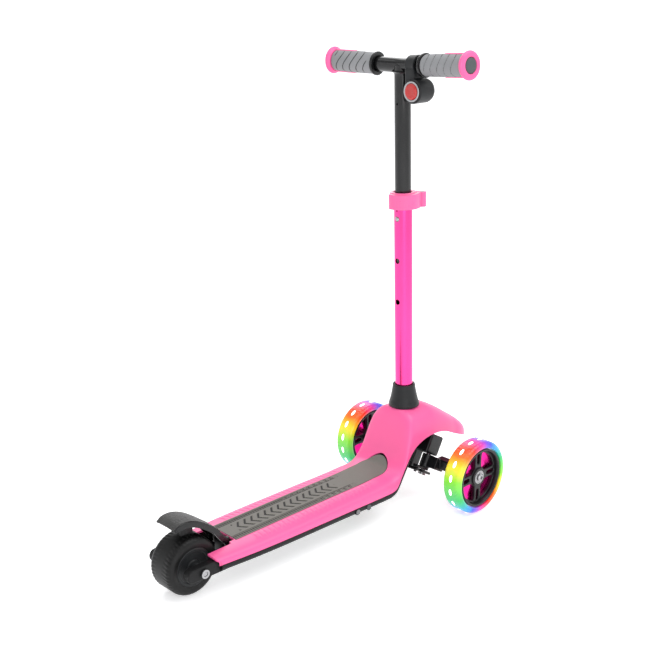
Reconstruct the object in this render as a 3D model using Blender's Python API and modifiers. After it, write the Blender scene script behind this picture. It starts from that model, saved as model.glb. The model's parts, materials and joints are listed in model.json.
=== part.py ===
"""Three-wheeled, lean-to-steer electric kick scooter for a small child.

Frame: metres, +Z up, the scooter faces -Y, its left side is +X. The origin is on the
floor under the middle of the scooter. "ahead" in a name is a distance forward of the
rear axle, and along_stem is a distance up the leaning stem from the collar's foot.
"""

import math

import bmesh
import bpy
import numpy as np
from mathutils import Matrix, Vector

# ---- driving dimensions ----
WHEELBASE = 0.490
TRACK = 0.242
FRONT_WHEEL_RADIUS = 0.0605
FRONT_TYRE_WIDTH = 0.034
REAR_WHEEL_RADIUS = 0.043
REAR_TYRE_WIDTH = 0.048
BAR_HEIGHT = 0.7025
STEM_LEAN = math.radians(2.0)
NOSE_OVERHANG = 0.100
DECK_HALF_WIDTH = 0.057
DECK_REAR_AHEAD = 0.018
DECK_UNDERSIDE = 0.0335
SIDE_SEAM_HEIGHT = 0.047
DECK_TOP_REAR = 0.060
DECK_TOP_FRONT = 0.068

# ---- clearances and walls ----
GAP = 0.0003
RUNNING_GAP = 0.0006
SEAM_GAP = 0.0009
SHELL_WALL = 0.003
TRAY_WALL = 0.003

# ---- lengthwise places, all forward of the rear axle ----
NOSE_AHEAD = WHEELBASE + NOSE_OVERHANG
STEM_FOOT_AHEAD = WHEELBASE - 0.0375
NECK_REAR_AHEAD = STEM_FOOT_AHEAD - 0.0725
KINGPIN_AHEAD = WHEELBASE - 0.012
REAR_AXLE_Y = (NOSE_AHEAD - REAR_WHEEL_RADIUS) / 2
WHEEL_SLOT_AHEAD = REAR_WHEEL_RADIUS + 0.018
FENDER_SLOT_AHEAD = WHEEL_SLOT_AHEAD + 0.0095
PAD_REAR_AHEAD = FENDER_SLOT_AHEAD + 0.0010
PAD_FRONT_AHEAD = NECK_REAR_AHEAD + 0.019
PAD_HALF_WIDTH = 0.0278
PAD_RECESS = 0.0016
PAD_PROUD = 0.0008

# ---- rear fork and rear wheel ----
ARM_INNER = 0.0330
ARM_OUTER = 0.0462
ARM_TOP = 0.0530
ARM_REAR_BEHIND = 0.027
ARM_ROOT_AHEAD = 0.105
REAR_AXLE_RADIUS = 0.0040
REAR_HUB_RADIUS = 0.0285
MOTOR_COVER_RADIUS = 0.0240
REAR_HEAD_RADIUS = 0.0066
REAR_HEAD_THICK = 0.0040

# ---- stem, handlebar and clamp ----
STEM_FOOT_HEIGHT = 0.160
COLLAR_HEIGHT = 0.0375
COLLAR_FOOT_RADIUS = 0.0250
COLLAR_TOP_RADIUS = 0.0180
LOWER_TUBE_RADIUS = 0.0143
UPPER_TUBE_RADIUS = 0.0126
UPPER_TUBE_WALL = 0.0020
LOWER_TUBE_BURIED = 0.060
UPPER_TUBE_BELOW_BUTTON = 0.070
CLAMP_HEIGHT = 0.0255
CLAMP_FOOT_ALONG = 0.3275
POP_BUTTON_ALONG = 0.3120
HEIGHT_STEP = 0.0670
HEIGHT_STEPS = 2
POP_BUTTON_RADIUS = 0.0040
BAR_RADIUS = 0.0111
BAR_SWEEP = math.radians(4.1)
BAR_RISE = math.radians(2.0)
BAR_ALONG = (BAR_HEIGHT - STEM_FOOT_HEIGHT) / math.cos(STEM_LEAN)

# ---- clamp details ----
CLAMP_RING_RADIUS = 0.0205
EAR_REACH = CLAMP_RING_RADIUS + 0.0095
EAR_HALF_SPREAD = 0.0110
SLIT_WIDTH = 0.0030
LEVER_PIN_RADIUS = 0.0028
LEVER_EYE_RADIUS = 0.0066
LEVER_PIN_SIDE = EAR_HALF_SPREAD + LEVER_EYE_RADIUS + RUNNING_GAP
LEVER_PIN_FORWARD = CLAMP_RING_RADIUS + 0.0030
CLAMP_BOLT_RADIUS = 0.0023
LEVER_THICK = 0.0060
LEVER_SWEEP = math.radians(152.0)

# ---- handlebar grips, measured out along the bar ----
GRIP_INNER_END = 0.0460
FLANGE_END = 0.1392
FLANGE_WIDTH = 0.0090
GRIP_OUTER_END = FLANGE_END - FLANGE_WIDTH - 0.0003
GRIP_RADIUS = 0.0158
GRIP_COLLAR_RADIUS = 0.0178
GRIP_COLLAR_WIDTH = 0.0050
GRIP_STRIP_WIDTH = 0.0070
GRIP_STRIP_LENGTH = 0.0420
FLANGE_RADIUS = 0.0207
CAP_RADIUS = 0.0112
CAP_THICK = 0.0042

# ---- throttle pod ----
POD_RADIUS = 0.0180
POD_SIDE = 0.0375
POD_DROP = 0.0350
POD_REAR_BEHIND = 0.0215
POD_LENGTH = 0.0345
POD_RING_RADIUS = 0.0150
THROTTLE_RADIUS = 0.0118
POD_STRAP_RADIUS = 0.0155
POD_STRAP_INNER_SIDE = 0.0200
POD_STRAP_WIDTH = 0.0180

# ---- steering ----
KINGPIN_RAKE = math.radians(29.0)
KINGPIN_HALF_SPACING = 0.0300
KINGPIN_RADIUS = 0.0040
KNUCKLE_RADIUS = 0.0095
KNUCKLE_HALF_HEIGHT = 0.0105
STEER_LEVER_LENGTH = 0.0200
STEER_LEVER_DROP = 0.0060
STEER_LEVER_THICK = 0.0050
TIE_PIN_RADIUS = 0.0025
TIE_ROD_THICK = 0.0045
TIE_ROD_WIDTH = 0.0100
STEERING_HEIGHT = 0.0620
ARM_BEAM_HEIGHT = 0.0180
ARM_BEAM_DEPTH = 0.0170

# ---- front wheels ----
RIM_RADIUS = 0.0480
RIM_INNER_RADIUS = 0.0435
RIM_WIDTH = 0.0300
HUB_RADIUS = 0.0150
HUB_WIDTH = 0.0220
SPOKES = 4
SPOKE_RIB_WIDTH = 0.0036
SPOKE_RIB_SPREAD = 0.0060
LIGHT_RING_THICK = 0.0014
BEARING_RADIUS = 0.0110
BEARING_WIDTH = 0.0070
BEARING_PROUD = 0.0004
FRONT_BOLT_RADIUS = 0.0038
FRONT_BOLT_HEAD_RADIUS = 0.0062
FRONT_BOLT_HEAD_THICK = 0.0035

# ---- brake ----
FENDER_HINGE_AHEAD = FENDER_SLOT_AHEAD - 0.0045
FENDER_HINGE_HEIGHT = 0.0490
FENDER_HALF_WIDTH = 0.0215
FENDER_CREST = 2 * REAR_WHEEL_RADIUS + 0.0270
FENDER_WALL = 0.0028
FENDER_FLANGE = 0.0090
FENDER_PIN_RADIUS = 0.0020
BRAKE_TRAVEL_GAP = 0.0042
FENDER_LUG_HALF = 0.0100
FENDER_EAR_THICK = 0.0050

# ---- drive and electrics ----
BATTERY_SIZE = (0.078, 0.190, 0.0170)
BATTERY_AHEAD = 0.215
CONTROLLER_SIZE = (0.060, 0.036, 0.0120)
CONTROLLER_AHEAD = 0.100
COVER_SIZE = (0.074, 0.200, 0.0016)
COVER_LEDGE = 0.0100
COVER_SCREW_RADIUS = 0.0024
DECK_TRAY_INSIDE = DECK_UNDERSIDE + TRAY_WALL
COVER_SHANK_RADIUS = 0.0012
COVER_SCREW_INSET = 0.0050
POWER_KNOB_AHEAD = 0.288
POWER_KNOB_HEIGHT = 0.0409
POWER_KNOB_RADIUS = 0.0042
POWER_BEZEL_RADIUS = 0.0051
CHARGE_CAP_AHEAD = 0.312
CHARGE_CAP_STEM = 0.0032

SMOOTH_SIDES = 30
SMALL_SIDES = 16
TYRE_SIDES = 36

# colour (linear RGB), roughness, metallic
LOOKS = {
    "pink_plastic": ((0.90, 0.155, 0.38), 0.42, 0.0),
    "black_plastic": ((0.012, 0.012, 0.013), 0.45, 0.0),
    "charcoal_plastic": ((0.030, 0.034, 0.034), 0.50, 0.0),
    "grey_rubber": ((0.110, 0.110, 0.108), 0.75, 0.0),
    "pad_rubber": ((0.150, 0.140, 0.125), 0.80, 0.0),
    "anodised_pink": ((0.75, 0.030, 0.28), 0.25, 1.0),
    "black_metal": ((0.010, 0.010, 0.011), 0.25, 0.6),
    "steel": ((0.62, 0.62, 0.63), 0.28, 1.0),
    "clear_tyre": ((0.30, 0.55, 0.35), 0.30, 0.0),
    "black_rubber": ((0.014, 0.014, 0.014), 0.65, 0.0),
    "red_plastic": ((0.60, 0.020, 0.020), 0.35, 0.0),
    "light_strip": ((0.95, 0.95, 0.92), 0.30, 0.0),
    "battery_wrap": ((0.020, 0.090, 0.260), 0.45, 0.0),
    "circuit": ((0.020, 0.160, 0.060), 0.50, 0.0),
}


# ---------------------------------------------------------------- scene and helpers


def clear_scene():
    for item in list(bpy.data.objects):
        bpy.data.objects.remove(item, do_unlink=True)


def collection(name, hidden=False):
    made = bpy.data.collections.new(name)
    bpy.context.scene.collection.children.link(made)
    made.hide_render = hidden
    return made


clear_scene()
PARTS = collection("kick_scooter")
CUTTERS = collection("cutters", hidden=True)


def material(look):
    found = bpy.data.materials.get(look)
    if found:
        return found
    colour, roughness, metallic = LOOKS[look]
    made = bpy.data.materials.new(look)
    made.use_nodes = True
    shader = made.node_tree.nodes["Principled BSDF"]
    shader.inputs["Base Color"].default_value = (*colour, 1.0)
    shader.inputs["Roughness"].default_value = roughness
    shader.inputs["Metallic"].default_value = metallic
    return made


def own_material(name, look):
    made = material(look).copy()
    made.name = name
    return made


def add(name, mesh, look, parent=None, at=(0, 0, 0), turn=(0, 0, 0)):
    """One named part at a place in its parent's frame; look None makes it a cutter."""
    item = bpy.data.objects.new(name, mesh)
    (PARTS if look else CUTTERS).objects.link(item)
    if look:
        mesh.materials.clear()
        mesh.materials.append(own_material(name, look))
        mesh.shade_smooth()
        mesh.set_sharp_from_angle(angle=math.radians(35))
    else:
        item.hide_render = True
        item.display_type = "WIRE"
    item.parent = parent
    item.location = at
    item.rotation_euler = turn
    return item


def empty(name, at, turn=(0, 0, 0), parent=None):
    made = bpy.data.objects.new(name, None)
    PARTS.objects.link(made)
    made.location = at
    made.rotation_euler = turn
    made.parent = parent
    return made


def mesh_from(name, builder):
    shape = bmesh.new()
    builder(shape)
    mesh = bpy.data.meshes.new(name)
    shape.to_mesh(mesh)
    shape.free()
    return mesh


def box_mesh(name, size, centre=(0, 0, 0), bevel=0.0):
    def build(shape):
        scale = Matrix.Diagonal((*size, 1.0))
        bmesh.ops.create_cube(shape, size=1.0, matrix=Matrix.Translation(centre) @ scale)
        if bevel:
            bmesh.ops.bevel(shape, geom=shape.edges[:], offset=bevel, segments=2,
                            profile=0.5, affect="EDGES")
    return mesh_from(name, build)


def rod_mesh(name, radius, low, high, sides=SMALL_SIDES, top_radius=None, centre=(0, 0)):
    """A cylinder or cone along local Z from low to high."""
    def build(shape):
        middle = Vector((centre[0], centre[1], (low + high) / 2))
        bmesh.ops.create_cone(shape, cap_ends=True, segments=sides, radius1=radius,
                              radius2=radius if top_radius is None else top_radius,
                              depth=high - low, matrix=Matrix.Translation(middle))
    return mesh_from(name, build)


def modifier(item, kind, **settings):
    made = item.modifiers.new(kind.title(), kind)
    for key, value in settings.items():
        setattr(made, key, value)
    return made


def turned_mesh(name, profile, closed):
    """The edge chain of a turned shape: (radius, height) pairs down the outer side."""
    mesh = bpy.data.meshes.new(name)
    points = [(radius, 0.0, height) for radius, height in profile]
    edges = [(i, i + 1) for i in range(len(points) - 1)]
    if closed:
        edges.append((len(points) - 1, 0))
    mesh.from_pydata(points, edges, [])
    return mesh


def turned(name, profile, look, parent=None, at=(0, 0, 0), turn=(0, 0, 0),
           sides=SMOOTH_SIDES, closed=False):
    item = add(name, turned_mesh(name, profile, closed), look, parent, at, turn)
    modifier(item, "SCREW", axis="Z", angle=math.tau, steps=sides, render_steps=sides,
             use_merge_vertices=True, merge_threshold=0.00001, use_smooth_shade=True)
    return item


def ring(name, outer, inner, low, high, look, parent=None, at=(0, 0, 0), turn=(0, 0, 0),
         sides=SMOOTH_SIDES, chamfer=0.0):
    profile = [(outer - chamfer, high), (outer, high - chamfer), (outer, low + chamfer),
               (outer - chamfer, low), (inner, low), (inner, high)]
    if not chamfer:
        profile = [(outer, high), (outer, low), (inner, low), (inner, high)]
    return turned(name, profile, look, parent, at, turn, sides, closed=True)


def boolean(item, other, operation="DIFFERENCE"):
    modifier(item, "BOOLEAN", operation=operation, object=other, solver="EXACT")


def cut(item, mesh, at=(0, 0, 0), turn=(0, 0, 0), parent=None, operation="DIFFERENCE"):
    """Cut a mesh from a part, or join it to it, in the given frame."""
    tool = add(mesh.name, mesh, None, parent, at, turn)
    boolean(item, tool, operation)
    return tool


def join(item, mesh, at=(0, 0, 0), turn=(0, 0, 0), parent=None):
    return cut(item, mesh, at, turn, parent, operation="UNION")


def hex_socket(item, radius, depth, height, parent, at, turn):
    """A hexagon socket sunk into a screw head from its top face."""
    tool = rod_mesh(item.name + "_socket", radius, height - depth, height + depth, 6)
    cut(item, tool, at, turn, parent)


def world_y(ahead):
    return REAR_AXLE_Y - ahead


# ---------------------------------------------------------------- body outline


def curve_through(knots):
    """A smooth function through (place, value) knots, flat beyond the ends."""
    places = np.array([k[0] for k in knots])
    values = np.array([k[1] for k in knots])
    slopes = np.gradient(values, places)
    steps = np.diff(values) / np.diff(places)
    for i, step in enumerate(steps):
        for j in (i, i + 1):
            limit = 3.0 * abs(step)
            if slopes[j] * step <= 0:
                slopes[j] = 0.0
            slopes[j] = min(max(slopes[j], -limit), limit)

    def value(place):
        place = min(max(place, places[0]), places[-1])
        i = min(int(np.searchsorted(places, place, side="right")) - 1, len(places) - 2)
        span = places[i + 1] - places[i]
        t = (place - places[i]) / span
        return float(
            values[i] * (1 + 2 * t) * (1 - t) ** 2 + slopes[i] * span * t * (1 - t) ** 2
            + values[i + 1] * t * t * (3 - 2 * t) + slopes[i + 1] * span * t * t * (t - 1)
        )
    return value


NECK = NECK_REAR_AHEAD
AXLE = WHEELBASE
CROWN = STEM_FOOT_HEIGHT + 0.0010

crown_height = curve_through([
    (DECK_REAR_AHEAD, DECK_TOP_REAR),
    (NECK - 0.280, DECK_TOP_REAR + 0.0020),
    (NECK - 0.130, DECK_TOP_FRONT - 0.0025),
    (NECK - 0.030, DECK_TOP_FRONT),
    (NECK, DECK_TOP_FRONT + 0.0030),
    (NECK + 0.014, DECK_TOP_FRONT + 0.0090),
    (NECK + 0.023, DECK_TOP_FRONT + 0.0220),
    (NECK + 0.030, DECK_TOP_FRONT + 0.0430),
    (NECK + 0.036, DECK_TOP_FRONT + 0.0640),
    (NECK + 0.042, CROWN - 0.0125),
    (NECK + 0.048, CROWN - 0.0035),
    (NECK + 0.057, CROWN),
    (AXLE - 0.014, CROWN),
    (AXLE + 0.000, CROWN - 0.0035),
    (AXLE + 0.020, CROWN - 0.0135),
    (AXLE + 0.040, CROWN - 0.0260),
    (AXLE + 0.060, CROWN - 0.0390),
    (AXLE + 0.080, CROWN - 0.0540),
    (NOSE_AHEAD - 0.010, CROWN - 0.0630),
    (NOSE_AHEAD, CROWN - 0.0740),
])

seam_height = curve_through([
    (DECK_REAR_AHEAD, SIDE_SEAM_HEIGHT),
    (NECK - 0.018, SIDE_SEAM_HEIGHT),
    (NECK, SIDE_SEAM_HEIGHT + 0.0035),
    (NECK + 0.008, SIDE_SEAM_HEIGHT + 0.0120),
    (NECK + 0.016, SIDE_SEAM_HEIGHT + 0.0215),
    (NECK + 0.032, SIDE_SEAM_HEIGHT + 0.0395),
    (AXLE - 0.060, SIDE_SEAM_HEIGHT + 0.0555),
    (AXLE - 0.040, SIDE_SEAM_HEIGHT + 0.0640),
    (AXLE - 0.010, SIDE_SEAM_HEIGHT + 0.0680),
    (AXLE + 0.015, SIDE_SEAM_HEIGHT + 0.0640),
    (AXLE + 0.045, SIDE_SEAM_HEIGHT + 0.0510),
    (AXLE + 0.075, SIDE_SEAM_HEIGHT + 0.0390),
    (NOSE_AHEAD, SIDE_SEAM_HEIGHT + 0.0300),
])

body_half_width = curve_through([
    (DECK_REAR_AHEAD, DECK_HALF_WIDTH - 0.0065),
    (NECK - 0.300, DECK_HALF_WIDTH - 0.0020),
    (NECK - 0.200, DECK_HALF_WIDTH),
    (NECK - 0.040, DECK_HALF_WIDTH),
    (NECK, DECK_HALF_WIDTH - 0.0020),
    (NECK + 0.022, DECK_HALF_WIDTH - 0.0060),
    (NECK + 0.045, DECK_HALF_WIDTH - 0.0090),
    (AXLE, DECK_HALF_WIDTH - 0.0105),
    (AXLE + 0.030, DECK_HALF_WIDTH - 0.0120),
    (AXLE + 0.050, DECK_HALF_WIDTH - 0.0140),
    (NOSE_AHEAD, DECK_HALF_WIDTH - 0.0140),
])

squareness = curve_through([
    (DECK_REAR_AHEAD, 3.6),
    (NECK + 0.030, 3.5),
    (NECK + 0.055, 2.8),
    (AXLE, 2.6),
    (AXLE + 0.050, 2.8),
    (NOSE_AHEAD, 3.4),
])

NOSE_ROUND = 0.050


def half_width(ahead):
    """Half the body's width, rounded off in plan at the nose."""
    into_nose = max(0.0, ahead - (NOSE_AHEAD - NOSE_ROUND)) / NOSE_ROUND
    return body_half_width(ahead) * math.sqrt(max(0.0, 1.0 - into_nose ** 2))


def top_of_body(ahead, side):
    """Height of the pink shell's outer surface at a point in plan."""
    share = min(1.0, abs(side) / max(half_width(ahead), 1e-6))
    power = squareness(ahead)
    seam = seam_height(ahead)
    return seam + (crown_height(ahead) - seam) * (1 - share ** power) ** (1 / power)


def shell_section(ahead, slant, count):
    """Points (x, y, z) up one side of a cross-section, from its seam to its crown."""
    width, seam = half_width(ahead), seam_height(ahead)
    rise, power = crown_height(ahead) - seam, squareness(ahead)
    points = []
    for i in range(count):
        angle = math.pi / 2 * i / (count - 1)
        side = width * math.cos(angle) ** (2 / power) if i < count - 1 else 0.0
        height = seam + rise * math.sin(angle) ** (2 / power)
        lean = slant * (rise + seam - height)
        points.append((side, world_y(ahead + lean), height))
    return points


def grid_mesh(name, rows):
    """A surface of quads through rows of points; rows may share points at a line."""
    mesh = bpy.data.meshes.new(name)
    count = len(rows[0])
    points = [p for row in rows for p in row]
    faces = [
        (r * count + c, r * count + c + 1, (r + 1) * count + c + 1, (r + 1) * count + c)
        for r in range(len(rows) - 1) for c in range(count - 1)
    ]
    mesh.from_pydata(points, [], faces)
    return mesh


def mirrored_shell(name, rows, look, wall):
    item = add(name, grid_mesh(name, rows), look)
    modifier(item, "MIRROR", use_axis=(True, False, False), use_clip=True,
             use_mirror_merge=True, merge_threshold=0.00001)
    modifier(item, "WELD", merge_threshold=0.00001)
    modifier(item, "SOLIDIFY", thickness=wall, offset=-1.0, use_even_offset=True)
    return item


def stations():
    """Places along the body, closer together where it turns quickly."""
    deck = np.linspace(DECK_REAR_AHEAD, NECK - 0.012, 8)
    neck = np.linspace(NECK, NECK + 0.057, 11)
    crown = np.linspace(AXLE - 0.036, NOSE_AHEAD - NOSE_ROUND, 6)
    nose = [NOSE_AHEAD - NOSE_ROUND * (1 - math.sin(math.pi / 2 * i / 5)) for i in range(1, 6)]
    return [*deck, *neck, *crown, *nose]


# ---------------------------------------------------------------- frames of reference

STEM = empty("stem_frame", (0, world_y(STEM_FOOT_AHEAD), STEM_FOOT_HEIGHT), (-STEM_LEAN, 0, 0))
BAR = empty("bar_frame", (0, 0, BAR_ALONG), parent=STEM)
STEERING = empty("steering_frame", (0, world_y(KINGPIN_AHEAD), STEERING_HEIGHT),
                 (KINGPIN_RAKE, 0, 0))
REAR_AXLE = empty("rear_axle_frame", (0, world_y(0), REAR_WHEEL_RADIUS), (0, math.pi / 2, 0))
HINGE = empty("fender_frame", (0, world_y(FENDER_HINGE_AHEAD), FENDER_HINGE_HEIGHT))


# ---------------------------------------------------------------- deck


def make_deck_shell():
    places = stations()
    rows = [shell_section(place, 0.6 if i == 0 else 0.0, 8) for i, place in enumerate(places)]
    shell = mirrored_shell("deck_shell", rows, "pink_plastic", SHELL_WALL)
    slot_length = WHEEL_SLOT_AHEAD + REAR_WHEEL_RADIUS
    slot = box_mesh("shell_wheel_slot", (2 * (ARM_INNER - 0.0025), slot_length, 0.08))
    cut(shell, slot, (0, world_y(WHEEL_SLOT_AHEAD - slot_length / 2), REAR_WHEEL_RADIUS))
    root_slot = box_mesh("shell_fender_slot", (2 * (FENDER_HALF_WIDTH + 0.0035), 0.040, 0.08))
    cut(shell, root_slot, (0, world_y(FENDER_SLOT_AHEAD - 0.020), REAR_WHEEL_RADIUS + 0.003))
    seat = turned("collar_seat_cutter", [
        (0.0, 0.030), (COLLAR_FOOT_RADIUS + GAP, 0.030), (COLLAR_FOOT_RADIUS + GAP, -GAP),
        (LOWER_TUBE_RADIUS + GAP, -GAP), (LOWER_TUBE_RADIUS + GAP, -0.03), (0.0, -0.03),
    ], None, STEM)
    boolean(shell, seat)
    boolean(shell, make_pad("pad_recess_cutter", None, GAP, 0.004, 0.004 + PAD_RECESS + GAP))
    return shell


def pad_half_width(ahead, margin):
    """Half the pad's width, with its round front end."""
    end = PAD_FRONT_AHEAD + margin
    round_off = PAD_HALF_WIDTH
    into = max(0.0, ahead - (end - round_off)) / round_off
    return (PAD_HALF_WIDTH + margin) * math.sqrt(max(0.0, 1.0 - into ** 2))


def make_pad(name, look, margin, proud, thick):
    """The tread pad follows the shell's surface, standing proud of it."""
    start, end = PAD_REAR_AHEAD - margin, PAD_FRONT_AHEAD + margin
    straight = list(np.linspace(start, end - PAD_HALF_WIDTH, 9))
    bend = [end - PAD_HALF_WIDTH * (1 - math.sin(math.pi / 2 * i / 7)) for i in range(1, 7)]
    rows = []
    for ahead in straight + bend:
        reach = pad_half_width(ahead, margin)
        rows.append([
            (-reach * share, world_y(ahead), top_of_body(ahead, reach * share) + proud)
            for share in np.linspace(-1.0, 1.0, 7)
        ])
    pad = add(name, grid_mesh(name, rows), look)
    modifier(pad, "SOLIDIFY", thickness=thick, offset=-1.0, use_even_offset=True)
    return pad


tray_floor = curve_through([
    (DECK_REAR_AHEAD, DECK_UNDERSIDE),
    (NECK - 0.014, DECK_UNDERSIDE),
    (NECK, DECK_UNDERSIDE + 0.0040),
    (NECK + 0.012, DECK_UNDERSIDE + 0.0135),
    (NECK + 0.032, DECK_UNDERSIDE + 0.0370),
    (NECK + 0.050, DECK_UNDERSIDE + 0.0620),
])


def tray_section(ahead):
    """One side of the tray, from under the shell's seam down and in to the middle."""
    width = half_width(ahead) - 0.0003
    step = 0.004
    slope = (seam_height(ahead + step) - seam_height(ahead - step)) / (2 * step)
    top, floor = seam_height(ahead) - SEAM_GAP * math.hypot(1.0, 2.0 * slope), tray_floor(ahead)
    wall = top - floor
    return [
        (width, world_y(ahead), top),
        (width - 0.0010, world_y(ahead), floor + 0.55 * wall),
        (width - 0.0035, world_y(ahead), floor + 0.22 * wall),
        (width - 0.0075, world_y(ahead), floor + 0.04 * wall),
        (width - 0.0130, world_y(ahead), floor),
        (0.0200, world_y(ahead), floor),
        (0.0, world_y(ahead), floor),
    ]


def make_chassis_tray():
    start = DECK_REAR_AHEAD + 0.010
    places = [start, *(p for p in stations() if start < p < NECK + 0.054)]
    rows = [tray_section(place) for place in places]
    tray = mirrored_shell("chassis_tray", rows, "black_plastic", TRAY_WALL)
    tray.modifiers["Solidify"].offset = 1.0
    add_fork_arms(tray)
    slot_length = WHEEL_SLOT_AHEAD + 2 * REAR_WHEEL_RADIUS
    slot = box_mesh("tray_wheel_slot", (2 * ARM_INNER, slot_length, 0.12))
    cut(tray, slot, (0, world_y(WHEEL_SLOT_AHEAD - slot_length / 2), REAR_WHEEL_RADIUS))
    axle_hole = rod_mesh("fork_axle_hole", REAR_AXLE_RADIUS + GAP, -0.08, 0.08)
    cut(tray, axle_hole, parent=REAR_AXLE)
    pin_hole = rod_mesh("fender_pin_hole", FENDER_PIN_RADIUS + GAP, -0.040, 0.040)
    cut(tray, pin_hole, turn=(0, math.pi / 2, 0), parent=HINGE)
    cut_cover_seat(tray)
    knob_hole = rod_mesh("power_knob_hole", POWER_BEZEL_RADIUS + GAP, -0.0090, 0.012)
    cut(tray, knob_hole, side_place(POWER_KNOB_AHEAD), (0, -math.pi / 2, 0))
    cap_hole = rod_mesh("charge_cap_hole", CHARGE_CAP_STEM + GAP, -0.0090, 0.012)
    cut(tray, cap_hole, side_place(CHARGE_CAP_AHEAD), (0, -math.pi / 2, 0))


def side_place(ahead):
    """A point on the tray's right wall at the height of the power button."""
    return (0.0013 - half_width(ahead), world_y(ahead), POWER_KNOB_HEIGHT)


def cut_cover_seat(tray):
    """A stepped opening in the tray floor: the cover lies on a ledge, flush outside."""
    middle = world_y(BATTERY_AHEAD)
    width, length, thick = COVER_SIZE
    seat_depth = thick + GAP
    seat = box_mesh("cover_seat", (width + 2 * GAP, length + 2 * GAP, 2 * seat_depth))
    cut(tray, seat, (0, middle, DECK_UNDERSIDE))
    opening = (width - 2 * COVER_LEDGE, length - 2 * COVER_LEDGE, 0.030)
    cut(tray, box_mesh("cover_opening", opening), (0, middle, DECK_UNDERSIDE))
    for i, (x, y) in enumerate(cover_screw_places(), 1):
        hole = rod_mesh(f"ledge_hole_{i}", COVER_SHANK_RADIUS + GAP, -0.01, 0.01, 12)
        cut(tray, hole, (x, y, DECK_UNDERSIDE))


def cover_screw_places():
    reach_x = COVER_SIZE[0] / 2 - COVER_SCREW_INSET
    reach_y = COVER_SIZE[1] / 2 - COVER_SCREW_INSET
    middle = world_y(BATTERY_AHEAD)
    return [(sx * reach_x, middle + sy * reach_y) for sy in (-1, 1) for sx in (-1, 1)]


def add_fork_arms(tray):
    """Two solid arms that run back from the tray and hold the rear axle."""
    length = ARM_ROOT_AHEAD + ARM_REAR_BEHIND
    width, height = ARM_OUTER - ARM_INNER, ARM_TOP - DECK_UNDERSIDE - 0.0005
    for side in (-1, 1):
        arm = box_mesh(f"fork_arm_{side}", (width, length, height), bevel=0.003)
        place = (side * (ARM_INNER + ARM_OUTER) / 2, world_y(ARM_ROOT_AHEAD - length / 2),
                 (ARM_TOP + DECK_UNDERSIDE + 0.0005) / 2)
        join(tray, arm, place)
    height = FENDER_HINGE_HEIGHT + 0.0045 - DECK_UNDERSIDE - 0.001
    lug = box_mesh("fender_lug", (2 * FENDER_LUG_HALF, 0.0100, height), bevel=0.0010)
    join(tray, lug, (0, world_y(FENDER_HINGE_AHEAD), DECK_UNDERSIDE + 0.001 + height / 2))


def make_front_frame():
    """The casting inside the neck: stem socket, kingpin housing and foot on the tray."""
    frame = turned("front_frame", [
        (0.0, -0.012), (LOWER_TUBE_RADIUS + 0.0055, -0.012),
        (LOWER_TUBE_RADIUS + 0.0055, -0.078), (0.0, -0.078),
    ], "black_plastic", STEM)
    housing = box_mesh("kingpin_housing", (0.073, 0.034, 0.034), bevel=0.003)
    join(frame, housing, (0, 0.000, KNUCKLE_HALF_HEIGHT + RUNNING_GAP + 0.017), parent=STEERING)
    lower = box_mesh("kingpin_foot", (0.078, 0.024, 0.0045), bevel=0.0012)
    foot_height = -(KNUCKLE_HALF_HEIGHT + STEER_LEVER_DROP + RUNNING_GAP + 0.00225)
    join(frame, lower, (0, 0.000, foot_height), parent=STEERING)
    strut_height = 2 * KNUCKLE_HALF_HEIGHT + STEER_LEVER_DROP + 0.012
    strut = box_mesh("kingpin_strut", (0.020, 0.022, strut_height), bevel=0.002)
    join(frame, strut, (0, 0, -STEER_LEVER_DROP / 2), parent=STEERING)
    web = box_mesh("frame_web", (0.036, 0.062, 0.0130), bevel=0.002)
    join(frame, web, (0, world_y(KINGPIN_AHEAD - 0.028), 0.1052))
    for side in (-1, 1):
        bore = rod_mesh(f"kingpin_bore_{side}", KINGPIN_RADIUS + GAP, -0.05, 0.038)
        cut(frame, bore, (side * KINGPIN_HALF_SPACING, 0, 0), parent=STEERING)
    socket = rod_mesh("stem_socket_bore", LOWER_TUBE_RADIUS + GAP, -LOWER_TUBE_BURIED - GAP, 0.02,
                      SMOOTH_SIDES)
    cut(frame, socket, parent=STEM)
    return frame


def make_battery_and_cover():
    inner_floor = DECK_TRAY_INSIDE
    battery = box_mesh("battery_pack", BATTERY_SIZE, bevel=0.003)
    add("battery_pack", battery, "battery_wrap", None,
        (0, world_y(BATTERY_AHEAD), inner_floor + GAP + BATTERY_SIZE[2] / 2))
    controller = box_mesh("motor_controller", CONTROLLER_SIZE, bevel=0.0015)
    add("motor_controller", controller, "circuit", None,
        (0, world_y(CONTROLLER_AHEAD), inner_floor + GAP + CONTROLLER_SIZE[2] / 2))
    cover = add("battery_cover", box_mesh("battery_cover", COVER_SIZE, bevel=0.0006),
                "charcoal_plastic", None,
                (0, world_y(BATTERY_AHEAD), DECK_UNDERSIDE + COVER_SIZE[2] / 2))
    for i, (x, y) in enumerate(cover_screw_places(), 1):
        cut(cover, rod_mesh(f"cover_hole_{i}", COVER_SCREW_RADIUS + GAP, -0.01, 0.01, 14),
            (x, y, DECK_UNDERSIDE))
        make_cover_screw(i, (x, y, DECK_UNDERSIDE))


def make_cover_screw(number, at):
    foot, shank_end = COVER_SIZE[2], DECK_TRAY_INSIDE - DECK_UNDERSIDE
    name = f"cover_screw_{number}"
    screw = turned(name, [
        (0.0, shank_end), (COVER_SHANK_RADIUS, shank_end), (COVER_SHANK_RADIUS, foot),
        (COVER_SCREW_RADIUS, foot), (COVER_SCREW_RADIUS, 0.0002), (0.0, 0.0002),
    ], "steel", None, at, sides=12)
    for spin in (0.0, math.pi / 2):
        slot = box_mesh(f"{name}_cross_{spin:.0f}", (0.0030, 0.0007, 0.0016))
        cut(screw, slot, at, (0, 0, spin))


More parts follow.
